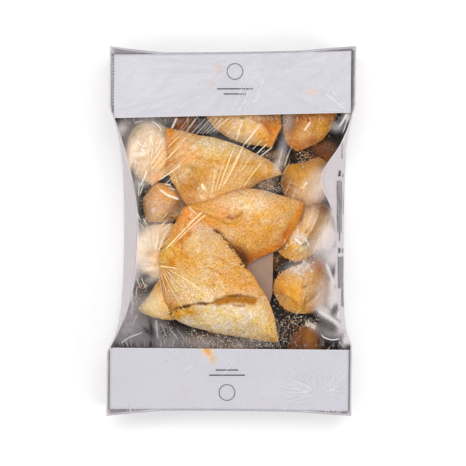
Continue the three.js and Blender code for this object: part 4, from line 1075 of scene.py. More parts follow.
for side in WALLS.values():
    yy = np.linspace(band_outer(FLAPS["bottom"], wall_line(side, BOTTOM_END)), band_outer(FLAPS["top"], wall_line(side, TOP_END)), 420)[None, :]
    h = np.linspace(0, 1, 22)[:, None]
    x, z = wall_point(side, yy + 0 * h, h)
    z = z + mix(-0.12, OFF * 0.5, h)
    q = np.stack([(yy + 0 * h).ravel(), z.ravel() * 0.25], 1)
    slack = 0.25 * np.maximum(fbm(q, 6.0, 441, 3), 0).reshape(x.shape) * np.sin(math.pi * h)
    x = x + side["sign"] * (OFF + slack)
    bands.append((np.stack([x, yy + 0 * h, z], -1), 0.02 + 0.6 * veil_at(x, yy + 0 * h) * smooth(0.92, 1.0, h), 0 * x, side["sign"] < 0, -1.0))
t = np.linspace(0, 1, 60)[:, None]
s = np.linspace(0, 1, 12)[None, :]
x = mix(-80.0, 80.0, s) + 0 * t
for _ in range(3):
    y = mix(band_outer(FLAPS["bottom"], x), band_outer(FLAPS["top"], x), t)
    x = mix(wall_point(WALLS["left"], y, 0)[0] - OFF, wall_point(WALLS["right"], y, 0)[0] + OFF, s)
bands.append((np.stack([x, y, -0.12 + 0 * x], -1), 0.03 + 0 * x, 0 * x, True))
film_wrap = film_object("film_wrap", bands)


# ---- creases: narrow gathered folds of the film that stand up from it; their white is partly the film's own whitening, partly painted highlight
class Creases:
    def __init__(self):
        self.patches = []
        self.warm = 1.0

    def add(self, pts, width=0.6, height=0.25, white=0.6, taper=(0.1, 0.6)):
        """A fold along places of the frame: width and height in mm, white the strength of its painted highlight, taper
        the shares of its length where it is fully there and where it starts to die out."""
        path = np.array([px(u, v, 50)[:2] for u, v in pts])
        seg = np.r_[0, np.cumsum(np.hypot(*np.diff(path, axis=0).T))]
        k = max(6, int(seg[-1] / (0.9)))
        at = np.linspace(0, seg[-1], k)
        # smooth course through the given places
        c = np.stack([np.interp(at, seg, path[:, 0]), np.interp(at, seg, path[:, 1])], 1)
        for _ in range(3):
            c[1:-1] = 0.25 * c[:-2] + 0.5 * c[1:-1] + 0.25 * c[2:]
        on = (c[:, 0] > side_edge(WALLS["left"], c[:, 1])[0] + 0.5) & (c[:, 0] < side_edge(WALLS["right"], c[:, 1])[0] - 0.5)
        on &= (c[:, 1] > band_outer(FLAPS["bottom"], c[:, 0]) + 0.5) & (c[:, 1] < band_outer(FLAPS["top"], c[:, 0]) - 0.5)
        c = c[on]
        k = len(c)
        if k < 5:
            return
        tan = np.gradient(c, axis=0)
        tan /= np.hypot(*tan.T)[:, None] + 1e-9
        nrm = np.stack([-tan[:, 1], tan[:, 0]], 1)
        u = np.linspace(0, 1, k)
        run = smooth(0, taper[0], u) * (1 - smooth(taper[1], 1.0, u))
        w = 0.5 * width * (0.35 + 0.65 * run)
        off = np.array([-1, -0.5, 0, 0.5, 1.0])
        prof = np.array([0, 0.62, 1.0, 0.62, 0])
        tone = np.array([0, 0.55, 1.0, 0.8, 0])
        p = c[:, None, :] + nrm[:, None, :] * (w[:, None] * off[None, :])[..., None]
        x, y = p[..., 0], p[..., 1]
        top, bot = FLAPS["top"], FLAPS["bottom"]
        z = np.where(y > free_y(top, x), band_z(x, y, top), np.where(y < free_y(bot, x), band_z(x, y, bot), window_z(x, y)))
        z = z + 0.05 + 0.42 * height * prof[None, :] * run[:, None]
        inside = (c[:, 1] < free_y(top, c[:, 0])) & (c[:, 1] > free_y(bot, c[:, 0]))
        near = window_gap(c[:, 0], c[:, 1]) < 8
        warm = self.warm * (0.45 + 0.55 * near.mean()) if inside.mean() > 0.6 else 0.0
        self.patches.append((np.stack([x, y, z], -1), 0 * x, white * tone[None, :] * run[:, None], True, warm))

    def fan(self, origin, a0, a1, r0, r1, count, seed, height=(0.12, 0.3), width=(0.35, 0.7), white=(0.2, 0.7), start=(1, 8)):
        """A fan of folds from `origin`: angles in degrees, 0 right and 90 up."""
        rng = np.random.default_rng(seed)
        for i in range(count):
            a = math.radians(mix(a0, a1, (i + 0.5 + rng.uniform(-0.4, 0.4)) / count))
            s, e = rng.uniform(*start), rng.uniform(r0, r1)
            bend = rng.uniform(-0.035, 0.035)
            p = []
            for t in np.linspace(0, 1, 7):
                r, aa = mix(s, e, t), a + bend * t * t
                p.append((origin[0] + r * math.cos(aa), origin[1] - r * math.sin(aa)))
            self.add(p, rng.uniform(*width), rng.uniform(*height), rng.uniform(*white), (0.06, rng.uniform(0.25, 0.75)))


cr = Creases()
rng = np.random.default_rng(77)


def lines(rows, height=0.25, taper=(0.15, 0.7), bend=1.0, strong=1.4):
    """Single creases: (u0, v0, u1, v1, width mm, strength of the painted highlight)."""
    for u0, v0, u1, v1, w, k in rows:
        w, k = w * 1.32, min(1.0, k * strong)
        d = np.array([u1 - u0, v1 - v0], float)
        n = np.array([-d[1], d[0]]) / (np.hypot(*d) + 1e-9)
        b = rng.uniform(-0.02, 0.02) * np.hypot(*d) * bend
        pts = [tuple(np.array([u0, v0]) + d * t + n * b * math.sin(math.pi * t)) for t in np.linspace(0, 1, 7)]
        cr.add(pts, w, height, k, taper)


# from the corner of the film between the two upper samosas of the left row, up over the long one
lines([
    (158, 181, 187, 160.5, 0.75, 0.95), (160, 179.5, 174, 169.5, 0.5, 0.7), (163, 176, 181, 162, 0.42, 0.45), (165, 161, 188, 139.5, 0.6, 0.8), (168, 157, 192, 132.5, 0.55, 0.75),
    (170, 162, 193, 142.5, 0.45, 0.5), (172, 171, 194, 150.5, 0.5, 0.6), (167, 148, 184, 132.5, 0.6, 0.6), (171, 140, 186, 126.5, 0.4, 0.35), (173, 153, 190, 137, 0.42, 0.4),
    (176, 163, 193, 149, 0.42, 0.4), (166, 183.5, 175, 175.5, 0.5, 0.7), (168, 186, 178, 177.5, 0.4, 0.5), (164, 172, 176, 161, 0.42, 0.45), (171, 177, 186, 166, 0.4, 0.4),
    (169, 152, 180, 141.5, 0.4, 0.45), (175, 147, 190, 130.5, 0.4, 0.35), (184, 158, 199, 144, 0.4, 0.3), (180, 172, 196, 158, 0.4, 0.3),
], strong=1.12)
cr.fan((120, 206), 31, 60, 78, 102, 30, 51, height=(0.2, 0.3), width=(0.26, 0.46), white=(0.16, 0.55), start=(48, 72))
cr.fan((118, 212), 38, 60, 52, 74, 16, 52, height=(0.2, 0.3), width=(0.3, 0.5), white=(0.2, 0.55), start=(36, 52))
cr.fan((204, 216), 38, 72, 50, 80, 18, 53, height=(0.2, 0.3), width=(0.28, 0.5), white=(0.15, 0.5), start=(20, 46))
# over the pale samosa beside it
cr.warm = 0.4
lines([
    (150, 166, 163.5, 146.5, 0.7, 0.6), (150, 172, 168, 149.5, 0.6, 0.42), (154, 155, 165.5, 134.5, 0.6, 0.5), (149, 177, 161, 164.5, 0.5, 0.4), (155, 174, 165, 161.5, 0.5, 0.3),
    (150, 134, 153, 148, 1.1, 0.6), (153, 147, 151, 161, 0.9, 0.5), (140, 149, 146, 152, 2.0, 0.6), (146, 153, 151, 149.5, 1.5, 0.5), (137, 154, 144, 156.5, 1.6, 0.5), (133, 147, 138, 153, 1.6, 0.4),
    (160, 168, 168, 156, 0.5, 0.3), (147, 170, 143, 181, 1.2, 0.55), (144, 178, 139.5, 188, 1.0, 0.6), (131, 150, 129, 170, 1.4, 0.3), (136, 158, 134, 172, 1.2, 0.35), (145, 158, 150, 175, 0.8, 0.3),
])
lines([(136, 140, 143, 147, 1.4, 0.6), (142, 146, 149, 146, 1.2, 0.6), (139, 152, 147, 158, 1.2, 0.55), (132, 158, 137, 150, 1.2, 0.5), (146, 141, 141, 150, 1.0, 0.5), (134, 160, 141, 166, 1.2, 0.4)], bend=3.0)
cr.add([(134, 123.5), (139, 121.6), (146, 121.4)], 0.8, 0.35, 0.5)
cr.add([(150, 121), (156, 123.5), (160, 127), (161.5, 132)], 1.3, 0.4, 0.6, (0.15, 0.8))
cr.add([(158, 122), (163, 127), (167, 128)], 0.8, 0.35, 0.4)
cr.warm = 0.75
# across the dark gap under the upper flap
lines([(u + 0.6 * math.sin(3.1 * u), 135 - 0.05 * (u - 184), u + 13.5 + math.sin(5.3 * u), 117.5, 0.32 + 0.1 * math.sin(2.3 * u), 0.16 + 0.10 * math.sin(7.7 * u)) for u in np.arange(176, 232, 2.9)], taper=(0.05, 0.85))
lines([
    (171.5, 129.5, 177, 117.5, 1.5, 0.42), (186, 132.5, 197, 117.5, 0.5, 0.45), (189, 129, 197, 119, 0.35, 0.28), (191, 134, 206, 117.5, 0.42, 0.4), (196, 135, 212, 117.5, 0.45, 0.45), (199, 134.5, 214, 118, 0.34, 0.24),
    (202, 135, 218, 117.5, 0.4, 0.38), (206.5, 134, 223, 117.5, 0.45, 0.5), (209, 135, 225, 119, 0.34, 0.28), (213, 132, 229, 117.5, 0.42, 0.45), (218, 127, 231, 117, 0.42, 0.35), (180, 130, 189, 117.5, 0.7, 0.18),
    (226, 136, 238, 121, 0.5, 0.3), (231, 139, 243, 124, 0.5, 0.3),
], taper=(0.05, 0.9))
cr.warm = 1.0
# fanning up from where two samosas meet
lines([
    (211, 197, 216.5, 160, 1.5, 0.30), (214, 196, 226, 157, 0.6, 0.55), (217, 195, 236.5, 142, 0.65, 0.7), (219.5, 193, 240, 150, 0.5, 0.5), (222, 189, 243.5, 144, 0.7, 0.75), (226, 183, 249, 134, 0.6, 0.55),
    (230, 184, 247, 153, 0.45, 0.4), (236, 142, 243, 118, 0.9, 0.42), (243, 146, 262, 123.5, 0.9, 0.55), (249, 136, 262, 122, 0.5, 0.45), (243, 187.5, 259, 165, 0.55, 0.55), (240, 184, 256, 162, 0.4, 0.4),
    (250, 176, 263, 160, 0.4, 0.4), (209, 190, 211, 168, 0.6, 0.25), (212.5, 186, 221, 158, 0.45, 0.4), (233, 171, 243, 150, 0.45, 0.4), (238, 176, 256, 150, 0.45, 0.4), (247, 181, 266, 158, 0.45, 0.35),
    (203, 156, 208, 160, 1.0, 0.3), (208, 146, 204, 158, 0.5, 0.2),
])
lines([(256, 154.5, 267.5, 143, 0.6, 0.95), (252, 150, 262.5, 140, 0.45, 0.5), (259.5, 157.5, 273, 147, 0.65, 0.6), (246, 148, 253, 141, 0.5, 0.4)], taper=(0.05, 0.85))
lines([(201.5, 183, 203.5, 190.5, 1.9, 0.7), (204.5, 185, 205.5, 192, 1.2, 0.45), (197, 190, 201, 187.5, 1.4, 0.35), (199, 195, 204, 199.5, 2.4, 0.3)], taper=(0.2, 0.8))
cr.add([(158.6, 188.6), (163, 192), (168, 195.6), (174, 197.6), (180, 200)], 1.7, 0.6, 1.0, (0.12, 0.85))
cr.add([(164, 184), (169, 184.6), (172, 186)], 1.4, 0.4, 0.6, (0.2, 0.8))
cr.add([(168, 188), (172, 188.6), (176, 190)], 1.4, 0.4, 0.4, (0.2, 0.8))
# along the left edge of the long lower samosa
lines([(164, 251, 203.5, 210.3, 0.85, 0.95), (176, 242, 207.5, 213.5, 0.6, 0.8), (186, 226, 204, 211.5, 0.45, 0.6), (170, 248, 186, 231, 0.45, 0.4), (158, 250, 170, 238, 0.5, 0.4)], taper=(0.12, 0.9))
lines([(188, 207, 197, 214.5, 1.0, 0.5), (160, 226, 168, 219.5, 0.8, 0.5), (161, 232, 172, 222, 0.7, 0.45), (163, 219, 168, 212, 0.7, 0.35)])
cr.add([(159.5, 266), (170, 267.3), (182, 269.4)], 1.0, 0.4, 1.0, (0.08, 0.7))
lines([
    (162, 271, 176, 298, 0.55, 0.5), (163.5, 270, 181, 297, 0.5, 0.5), (165, 269, 188, 293, 0.5, 0.42), (160.5, 273, 168, 299, 0.5, 0.4), (158.8, 275, 162.5, 301, 0.5, 0.35), (166, 268, 187, 281, 0.5, 0.5),
    (180, 275.5, 206, 292.5, 0.75, 0.75), (184, 281, 201, 291, 0.5, 0.55), (190, 284.5, 210, 296.5, 0.55, 0.55), (178, 272, 197, 281.5, 0.4, 0.4), (172, 290, 180, 305, 0.45, 0.35), (178, 301, 186, 312, 0.5, 0.45),
    (176, 278, 190, 288, 0.4, 0.35), (170, 277, 180, 291, 0.4, 0.35),
])
# in the clouded film at the left
for i in range(26):
    a = math.radians(rng.uniform(62, 128))
    r0, r1 = rng.uniform(6, 20), rng.uniform(26, 46)
    o = np.array([154, 262])
    lines([(o[0] + r0 * math.cos(a), o[1] - r0 * math.sin(a), o[0] + r1 * math.cos(a), o[1] - r1 * math.sin(a), rng.uniform(0.45, 1.1), rng.uniform(0.2, 0.58))], taper=(0.2, 0.5))
for i in range(12):
    a = math.radians(rng.uniform(150, 215))
    r0, r1 = rng.uniform(4, 10), rng.uniform(14, 26)
    lines([(156 + r0 * math.cos(a), 264 - r0 * math.sin(a), 156 + r1 * math.cos(a), 264 - r1 * math.sin(a), rng.uniform(0.8, 1.6), rng.uniform(0.15, 0.4))], taper=(0.2, 0.5))
# the leaning left wall and the film on it are creased lengthways
for i in range(20):
    v0 = rng.uniform(178, 296)
    u0 = 127 + 9 * rng.uniform(0, 1) - abs(v0 - 235) * 0.03
    L = rng.uniform(8, 20)
    lines([(u0 - 1, v0 - L, u0 + 0.5, v0 + L, rng.uniform(0.5, 1.1), rng.uniform(0.15, 0.4))], taper=(0.3, 0.6))
lines([(137, 212, 141, 222, 0.6, 0.6), (143, 218, 148, 227, 0.5, 0.6), (146, 216, 143, 226, 0.4, 0.5), (139, 222, 145, 230, 0.5, 0.5), (136, 276, 141, 290, 0.5, 0.5), (141, 277, 147, 290, 0.5, 0.5), (130, 283, 134, 268, 0.5, 0.5),
       (133, 292, 131, 304, 0.6, 0.5), (137, 285, 136, 300, 0.5, 0.4), (128, 292, 126, 306, 0.6, 0.35), (139, 181, 138, 199, 0.9, 0.4), (144, 182, 139, 197, 0.7, 0.45)])
# beside the right wall: broad soft folds
cr.warm = 0.15
cr.add([(324, 259), (328, 269), (332, 280), (337, 290)], 3.6, 0.8, 0.6, (0.3, 0.7))
cr.add([(313, 306), (319, 311.5), (328, 317), (336, 322.5), (343, 331)], 4.2, 0.8, 0.62, (0.3, 0.75))
cr.add([(341, 288), (341, 298), (339.5, 309), (337, 319)], 1.8, 0.5, 0.6, (0.15, 0.8))
cr.add([(336, 291), (333, 300), (330.5, 311)], 1.3, 0.4, 0.45, (0.15, 0.8))
cr.add([(320, 333.5), (324.5, 338), (332, 340), (341, 338.5)], 1.1, 0.4, 0.8, (0.15, 0.85))
cr.add([(343, 331), (347, 338), (350, 346)], 1.2, 0.4, 0.6, (0.1, 0.8))
cr.add([(338, 341), (342, 345), (345, 348)], 0.8, 0.3, 0.5, (0.1, 0.8))
cr.add([(347.5, 113.5), (344.5, 118), (341, 124), (336.5, 132)], 2.2, 0.6, 0.7, (0.1, 0.5))
cr.add([(349, 116), (345, 126), (341.5, 137)], 1.2, 0.5, 0.6, (0.1, 0.6))
cr.add([(346.5, 131), (340, 147), (331, 162), (322, 176)], 1.0, 0.4, 0.55, (0.15, 0.85))
cr.warm = 1.0
cr.add([(304, 131.5), (307.5, 126), (311, 121.5)], 1.8, 0.4, 0.8, (0.2, 0.8))
cr.add([(294, 238), (298, 241), (302, 245)], 1.7, 0.4, 0.8, (0.2, 0.8))
cr.add([(303, 236.5), (307, 241), (310, 248)], 1.1, 0.4, 0.6, (0.2, 0.8))
cr.add([(313, 254), (317, 243), (322, 232)], 0.9, 0.4, 0.6, (0.15, 0.8))
cr.add([(302, 188.5), (305, 185), (308.5, 181)], 2.2, 0.4, 0.6, (0.2, 0.8))
cr.add([(299.5, 187), (302.5, 188.5), (306, 187.5)], 1.4, 0.4, 0.5, (0.2, 0.8))
for i in range(22):
    u, v, a, L = rng.uniform(283, 309), rng.uniform(238, 261), math.radians(rng.uniform(10, 80)), rng.uniform(1.5, 3.4)
    cr.add([(u - L * math.cos(a), v + L * math.sin(a)), (u, v - 0.3), (u + L * math.cos(a), v - L * math.sin(a))], rng.uniform(0.5, 1.0), 0.3, rng.uniform(0.25, 0.65), (0.2, 0.8))
lines([(317, 250, 322, 236, 0.6, 0.4), (310, 232, 318, 214, 0.6, 0.3), (306, 229, 313, 211, 0.6, 0.28), (327, 232, 331, 216, 0.7, 0.35), (324, 228, 327, 212, 0.5, 0.3), (313, 186, 322, 172, 0.7, 0.35),
       (292, 201, 296, 186, 0.6, 0.28), (300, 199, 305, 186, 0.5, 0.25), (284, 168, 290, 150, 0.8, 0.28), (278, 166, 283, 146, 0.9, 0.3), (286, 160, 294, 142, 0.6, 0.25), (282, 176, 291, 160, 0.5, 0.3),
       (284, 196, 292, 178, 0.5, 0.25), (333, 181, 336, 165, 0.5, 0.3), (331, 196, 335, 186, 0.5, 0.3), (295, 316, 301, 308, 0.5, 0.3), (303, 300, 309, 284, 0.7, 0.25), (314, 302, 322, 290, 0.8, 0.25)])
cr.fan((279, 345), 60, 110, 12, 40, 7, 17, white=(0.12, 0.3), width=(0.4, 0.9), start=(4, 14))
# the lower left corner and along the lower flap
cr.warm = 0.3
cr.add([(120, 345), (126, 339), (134, 335.5), (140, 333.5), (145, 330.5)], 1.5, 0.5, 0.42, (0.2, 0.8))
lines([(132, 326, 139, 312, 0.8, 0.16), (156, 318, 158, 342, 1.2, 0.26), (160, 322, 168, 340, 0.6, 0.24), (168, 326, 180, 342, 0.7, 0.24), (176, 328, 188, 344, 0.6, 0.2), (134, 300, 131, 318, 0.8, 0.2), (128, 306, 123, 326, 0.9, 0.2)])
for i in range(70):
    u = rng.uniform(118, 348)
    L = rng.uniform(4, 15)
    cr.add([(u, 347.3), (u + rng.uniform(-5, 3), 347.3 - L)], rng.uniform(0.4, 0.9), 0.15, rng.uniform(0.08, 0.3), (0.05, 0.4))
    u = rng.uniform(120, 344)
    L = rng.uniform(4, 12)
    cr.add([(u, 116), (u + rng.uniform(-2, 7), 116 + L)], rng.uniform(0.4, 0.8), 0.15, rng.uniform(0.06, 0.25), (0.05, 0.4))
# over the flaps
cr.warm = 0.0
cr.fan((322, 393), 110, 215, 14, 52, 22, 30, white=(0.2, 0.55), width=(0.6, 1.5), start=(6, 18))
cr.fan((322, 393), -30, 110, 12, 30, 14, 31, white=(0.2, 0.55), width=(0.6, 1.4), start=(4, 12))
cr.fan((236, 116), 50, 82, 20, 60, 12, 33, white=(0.18, 0.50), width=(0.5, 1.1), start=(4, 20))
cr.fan((250, 116), 62, 112, 16, 44, 11, 34, white=(0.18, 0.45), width=(0.5, 1.1), start=(3, 16))
cr.fan((350, 113), 120, 172, 14, 50, 11, 35, white=(0.18, 0.5), width=(0.6, 1.3), start=(3, 14))
cr.add([(322, 92), (334, 101), (347, 112)], 1.6, 0.4, 0.6, (0.2, 0.8))
for i in range(64):
    u, v = rng.uniform(118, 340), (rng.uniform(58, 110) if i % 2 else rng.uniform(354, 404))
    a, L = math.radians(rng.uniform(34, 66)), rng.uniform(12, 44)
    cr.add([(u, v), (u + L * math.cos(a), v - L * math.sin(a) * 0.8)], rng.uniform(0.4, 1.5), 0.3, rng.uniform(0.08, 0.34), (0.35, 0.6))
for i in range(54):
    u = rng.uniform(116, 345)
    L = rng.uniform(5, 13)
    cr.add([(u, 412.3), (u + rng.uniform(-2.5, 2.5), 412.3 - L)], rng.uniform(0.5, 1.1), 0.2, rng.uniform(0.15, 0.5), (0.1, 0.4))
for i in range(26):
    u = rng.uniform(298, 340)
    cr.add([(u, 407.5 + rng.uniform(0, 2)), (u + 1.5, 411), (u - 1.2, 414.5)], 0.7, 0.3, rng.uniform(0.4, 0.9), (0.2, 0.7))
for v in np.arange(57, 104, 3.1):
    cr.add([(111.8, v + 1.6), (114.4, v - 0.6)], 0.7, 0.3, 0.75, (0.2, 0.7))
film_creases = film_object("film_creases", cr.patches)


# ---------------------------------------------------------------- what lies between the samosas
def contents_z(x, y):
    """Highest samosa over points of the tray (mm), or the floor of the tray."""
    q = np.stack([np.ravel(x), np.ravel(y)], 1)
    z = np.full(len(q), BOARD + 0.3)
    depth = np.zeros(len(q))
    for sm in SAMOSAS:
        a, b = sm.outline.min(0), sm.outline.max(0)
        m = np.flatnonzero(((q >= a) & (q <= b)).all(1))
        if not len(m):
            continue
        d = edge_distance(q[m], sm.outline)
        m, d = m[d > 0], d[d > 0]
        if not len(m):
            continue
        h = sm.top(q[m], d)
        up = h > z[m]
        depth[m[up]] = d[up]
        z[m] = np.maximum(z[m], h)
    return z, depth


def ball(level):
    """Unit icosahedron, split `level` times."""
    g = (1 + 5 ** 0.5) / 2
    v = [(-1, g, 0), (1, g, 0), (-1, -g, 0), (1, -g, 0), (0, -1, g), (0, 1, g), (0, -1, -g), (0, 1, -g), (g, 0, -1), (g, 0, 1), (-g, 0, -1), (-g, 0, 1)]
    f = [(0, 11, 5), (0, 5, 1), (0, 1, 7), (0, 7, 10), (0, 10, 11), (1, 5, 9), (5, 11, 4), (11, 10, 2), (10, 7, 6), (7, 1, 8),
         (3, 9, 4), (3, 4, 2), (3, 2, 6), (3, 6, 8), (3, 8, 9), (4, 9, 5), (2, 4, 11), (6, 2, 10), (8, 6, 7), (9, 8, 1)]
    v = [np.array(a) / np.linalg.norm(a) for a in v]
    for _ in range(level):
        mid, nf = {}, []
        def half(a, b):
            key = (min(a, b), max(a, b))
            if key not in mid:
                w = v[a] + v[b]
                v.append(w / np.linalg.norm(w))
                mid[key] = len(v) - 1
            return mid[key]
        for a, b, c in f:
            ab, bc, ca = half(a, b), half(b, c), half(c, a)
            nf += [(a, ab, ca), (b, bc, ab), (c, ca, bc), (ab, bc, ca)]
        f = nf
    return np.array(v), np.array(f)


def lumps(name, centres, radii, material, slot, level=0, flat=0.8, rough=0.0, seed=1):
    """One piece of many small lumps: centres (n, 3) in mm, radii (n,)."""
    v, f = ball(level)
    rng = np.random.default_rng(seed)
    V, F = [], []
    for i, (c, r) in enumerate(zip(centres, radii)):
        k = rng.uniform(0.75, 1.25, 3) * np.array([1, 1, flat])
        w = v * k * r
        if rough:
            w = w * (1 + rough * vnoise(v * 3 + c, 1.0, seed + 3)[:, None])
        a = rng.uniform(0, 2 * math.pi)
        R = np.array([[math.cos(a), -math.sin(a), 0], [math.sin(a), math.cos(a), 0], [0, 0, 1]])
        V.append(w @ R.T + c)
        F.append(f + i * len(v))
    ob = mesh_object(name, np.vstack(V), np.vstack(F))
    ob.data.materials.append(material)
    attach(ob, "root")
    return ob


def frost_material():
    m = Nodes("frost_white")
    n = m.noise(1800, 3, 0.6)
    p = m.new("ShaderNodeBsdfPrincipled", Roughness=0.35)
    p.inputs["Specular IOR Level"].default_value = 0.5
    p.inputs["Subsurface Weight"].default_value = 0.0
    m.link(m.mixc(n, tuple(lin((238, 228, 212))), tuple(lin((206, 190, 172)))), p.inputs["Base Color"])
    m.link(m.bump(n, 0.5, 0.0003), p.inputs["Normal"])
    m.link(p.outputs[0], m.out.inputs[0])
    return m.mat


def rime_material():
    m = Nodes("frost_grey")
    n = m.noise(1500, 3, 0.6)
    big = m.noise(260, 2, 0.5)
    p = m.new("ShaderNodeBsdfPrincipled", Roughness=0.45)
    p.inputs["Specular IOR Level"].default_value = 0.5
    c = m.mixc(n, tuple(lin((208, 174, 134))), tuple(lin((128, 92, 60))))
    m.link(m.mixc(big, c, tuple(lin((72, 46, 28)))), p.inputs["Base Color"])
    m.link(m.bump(n, 0.5, 0.0003), p.inputs["Normal"])
    m.link(p.outputs[0], m.out.inputs[0])
    return m.mat


def crumb_material(name="crumb_brown", light=(214, 146, 66), dark=(124, 66, 26)):
    m = Nodes(name)
    n = m.noise(1200, 3, 0.6)
    p = m.new("ShaderNodeBsdfPrincipled", Roughness=0.6)
    p.inputs["Specular IOR Level"].default_value = 0.3
    m.link(m.mixc(n, tuple(lin(light)), tuple(lin(dark))), p.inputs["Base Color"])
    m.link(m.bump(n, 0.5, 0.0003), p.inputs["Normal"])
    m.link(p.outputs[0], m.out.inputs[0])
    return m.mat


frost_mat, rime_mat, crumb_mat = frost_material(), rime_material(), crumb_material()

# frost in the gaps: (u, v, half-width, half-height, grains per mm2, largest radius mm, share that hangs
# from the film)
FROST = [
    (143, 283, 6, 11, 1.3, 0.50, 0.5), (139, 292, 4, 10, 0.9, 0.45, 0.4), (145.5, 222.5, 5, 6, 1.2, 0.50, 0.5), (303, 158, 9, 7, 1.2, 0.48, 0.5), (311, 207, 9, 5, 1.2, 0.45, 0.5),
    (293, 321, 19, 8, 1.1, 0.52, 0.5), (288, 337, 13, 8, 1.0, 0.36, 0.5), (272, 344, 12, 4, 1.3, 0.45, 0.5), (246, 341, 24, 6, 1.2, 0.42, 0.6), (212, 337, 22, 8, 1.1, 0.42, 0.6),
    (191, 333, 10, 7, 0.9, 0.40, 0.5), (168, 331, 12, 9, 0.8, 0.40, 0.6), (270, 187, 14, 8, 1.3, 0.44, 0.5), (267, 156, 6, 7, 1.1, 0.40, 0.5), (287, 121, 5, 7, 1.1, 0.36, 0.6),
    (270, 120, 9, 6, 0.7, 0.34, 0.6), (279, 264, 6, 14, 0.4, 0.34, 0.3), (172, 219, 8, 2.5, 0.7, 0.34, 0.3), (304, 262, 9, 4, 0.9, 0.44, 0.6), (222, 117.5, 40, 1.6, 1.0, 0.34, 0.6),
    (315, 319, 8, 6, 0.7, 0.44, 0.5), (230, 344.5, 46, 2.2, 1.4, 0.38, 0.6),
]
BEADS = [(271.8, 289, 0.85), (272.0, 295.5, 1.05), (270.6, 302, 1.05), (275.6, 302, 0.95), (274.8, 308, 0.85), (277.5, 305, 0.55), (279, 311, 0.6), (276, 316, 0.6), (277.4, 322, 0.85),
         (283, 317, 0.6), (285, 323, 0.85), (288, 320, 0.6), (290.5, 319.5, 0.7), (295.5, 319.5, 0.95), (280, 322, 0.5), (293, 316, 0.6), (299, 318, 0.55), (301, 325, 0.6), (243.8, 343, 0.9), (256, 341, 0.5), (271, 345, 0.5),
         (303, 167, 0.5), (308, 152, 0.45), (281, 330, 0.5), (290, 331, 0.5), (277, 296, 0.45), (277, 249, 0.4), (269, 344, 0.6), (176, 330, 0.5), (191, 330, 0.5), (313, 262.5, 1.0), (287, 314, 0.6)]
rng = np.random.default_rng(900)
gc, gr = [], []
for u, v, a, b, dense, big, hung in FROST:
    n = int(dense * math.pi * a * b * 0.47)
    n = n
    ang, rad = rng.uniform(0, 2 * math.pi, n), np.sqrt(rng.uniform(0, 1, n)) * rng.uniform(0.6, 1.15, n)
    uu, vv = u + a * rad * np.cos(ang), v + b * rad * np.sin(ang)
    vv = np.clip(vv, 116.6, 346.6)
    p = np.array([px(i, j, 34)[:2] for i, j in zip(uu, vv)])
    z, depth = contents_z(*p.T)
    film = window_z(*p.T)
    r = 0.15 + (big - 0.15) * rng.uniform(0, 1, n) ** 1.6
    up = rng.uniform(0, 1, n) < hung
    for k in range(n):
        if z[k] > 40 and depth[k] > 1.2 + 1.6 * rng.uniform():
            continue
        level = max(film[k] - r[k] - 0.15, z[k] + r[k] * 0.3) if up[k] else z[k] + r[k] * 0.3
        gc.append((*p[k], level))
        gr.append(r[k])
gc, gr = np.array(gc), np.array(gr)
# along the rims of the upper samosas, where frost settled
for sm in SAMOSAS[:3]:
    k = 330
    pick = rng.integers(0, len(sm.outline), k)
    inward = np.abs(rng.normal(0, 1.6, k))
    base = sm.outline[pick]
    p = base + (sm.centre - base) / np.hypot(*(sm.centre - base).T)[:, None] * inward[:, None]
    z = sm.top(p)
    gc = np.vstack([gc, np.c_[p, z + 0.02]])
    gr = np.r_[gr, rng.uniform(0.10, 0.2, k)]
for sm in SAMOSAS:
    if sm.name not in ("samosa_right_a", "samosa_right_b", "samosa_right_c", "samosa_right_d", "samosa_left_b", "samosa_left_a", "samosa_left_c"):
        continue
    k = 44
    base = sm.outline[rng.integers(0, len(sm.outline), k)]
    p = base + (sm.centre - base) / np.hypot(*(sm.centre - base).T)[:, None] * rng.normal(0.3, 0.8, k)[:, None]
    gc = np.vstack([gc, np.c_[p, sm.top(p) + rng.uniform(0, 0.5, k)]])
    gr = np.r_[gr, rng.uniform(0.14, 0.4, k)]
white = rng.uniform(0, 1, len(gc)) < 0.55
lo_pts = inside_tray(gc)
lumps("frost_grains", lo_pts[white], gr[white], frost_mat, "frost", 0, 0.8, seed=910)
lumps("frost_rime", lo_pts[~white], gr[~white], rime_mat, "frost", 0, 0.8, seed=911)
b = np.array([px(u, v, 34)[:2] for u, v, _ in BEADS])
bz, _ = contents_z(*b.T)
lumps("frost_beads", inside_tray(np.c_[b, bz + 0.4]), np.array([r for *_, r in BEADS]), frost_mat, "frost", 2, 0.85, seed=912)
chunks = [(305, 264, 1.9), (308, 267.5, 1.7), (301, 268, 1.9), (305, 270.5, 1.5), (296, 271, 1.7), (292, 269.5, 1.3), (311, 271, 1.0), (299, 273.5, 1.2), (304, 275, 0.9), (312.5, 323, 1.5), (311, 326, 1.9), (314, 328, 1.5), (308.5, 325, 1.2), (296, 240, 1.0), (299.5, 243, 1.1), (304.5, 246.5, 0.9), (306, 240, 0.8)]
b = np.array([px(u, v, 42)[:2] for u, v, _ in chunks])
bz, _ = contents_z(*b.T)
lumps("frost_chunks", inside_tray(np.c_[b, bz + 0.2]), np.array([r for *_, r in chunks]), frost_mat, "frost", 3, 0.34, rough=0.95, seed=913)

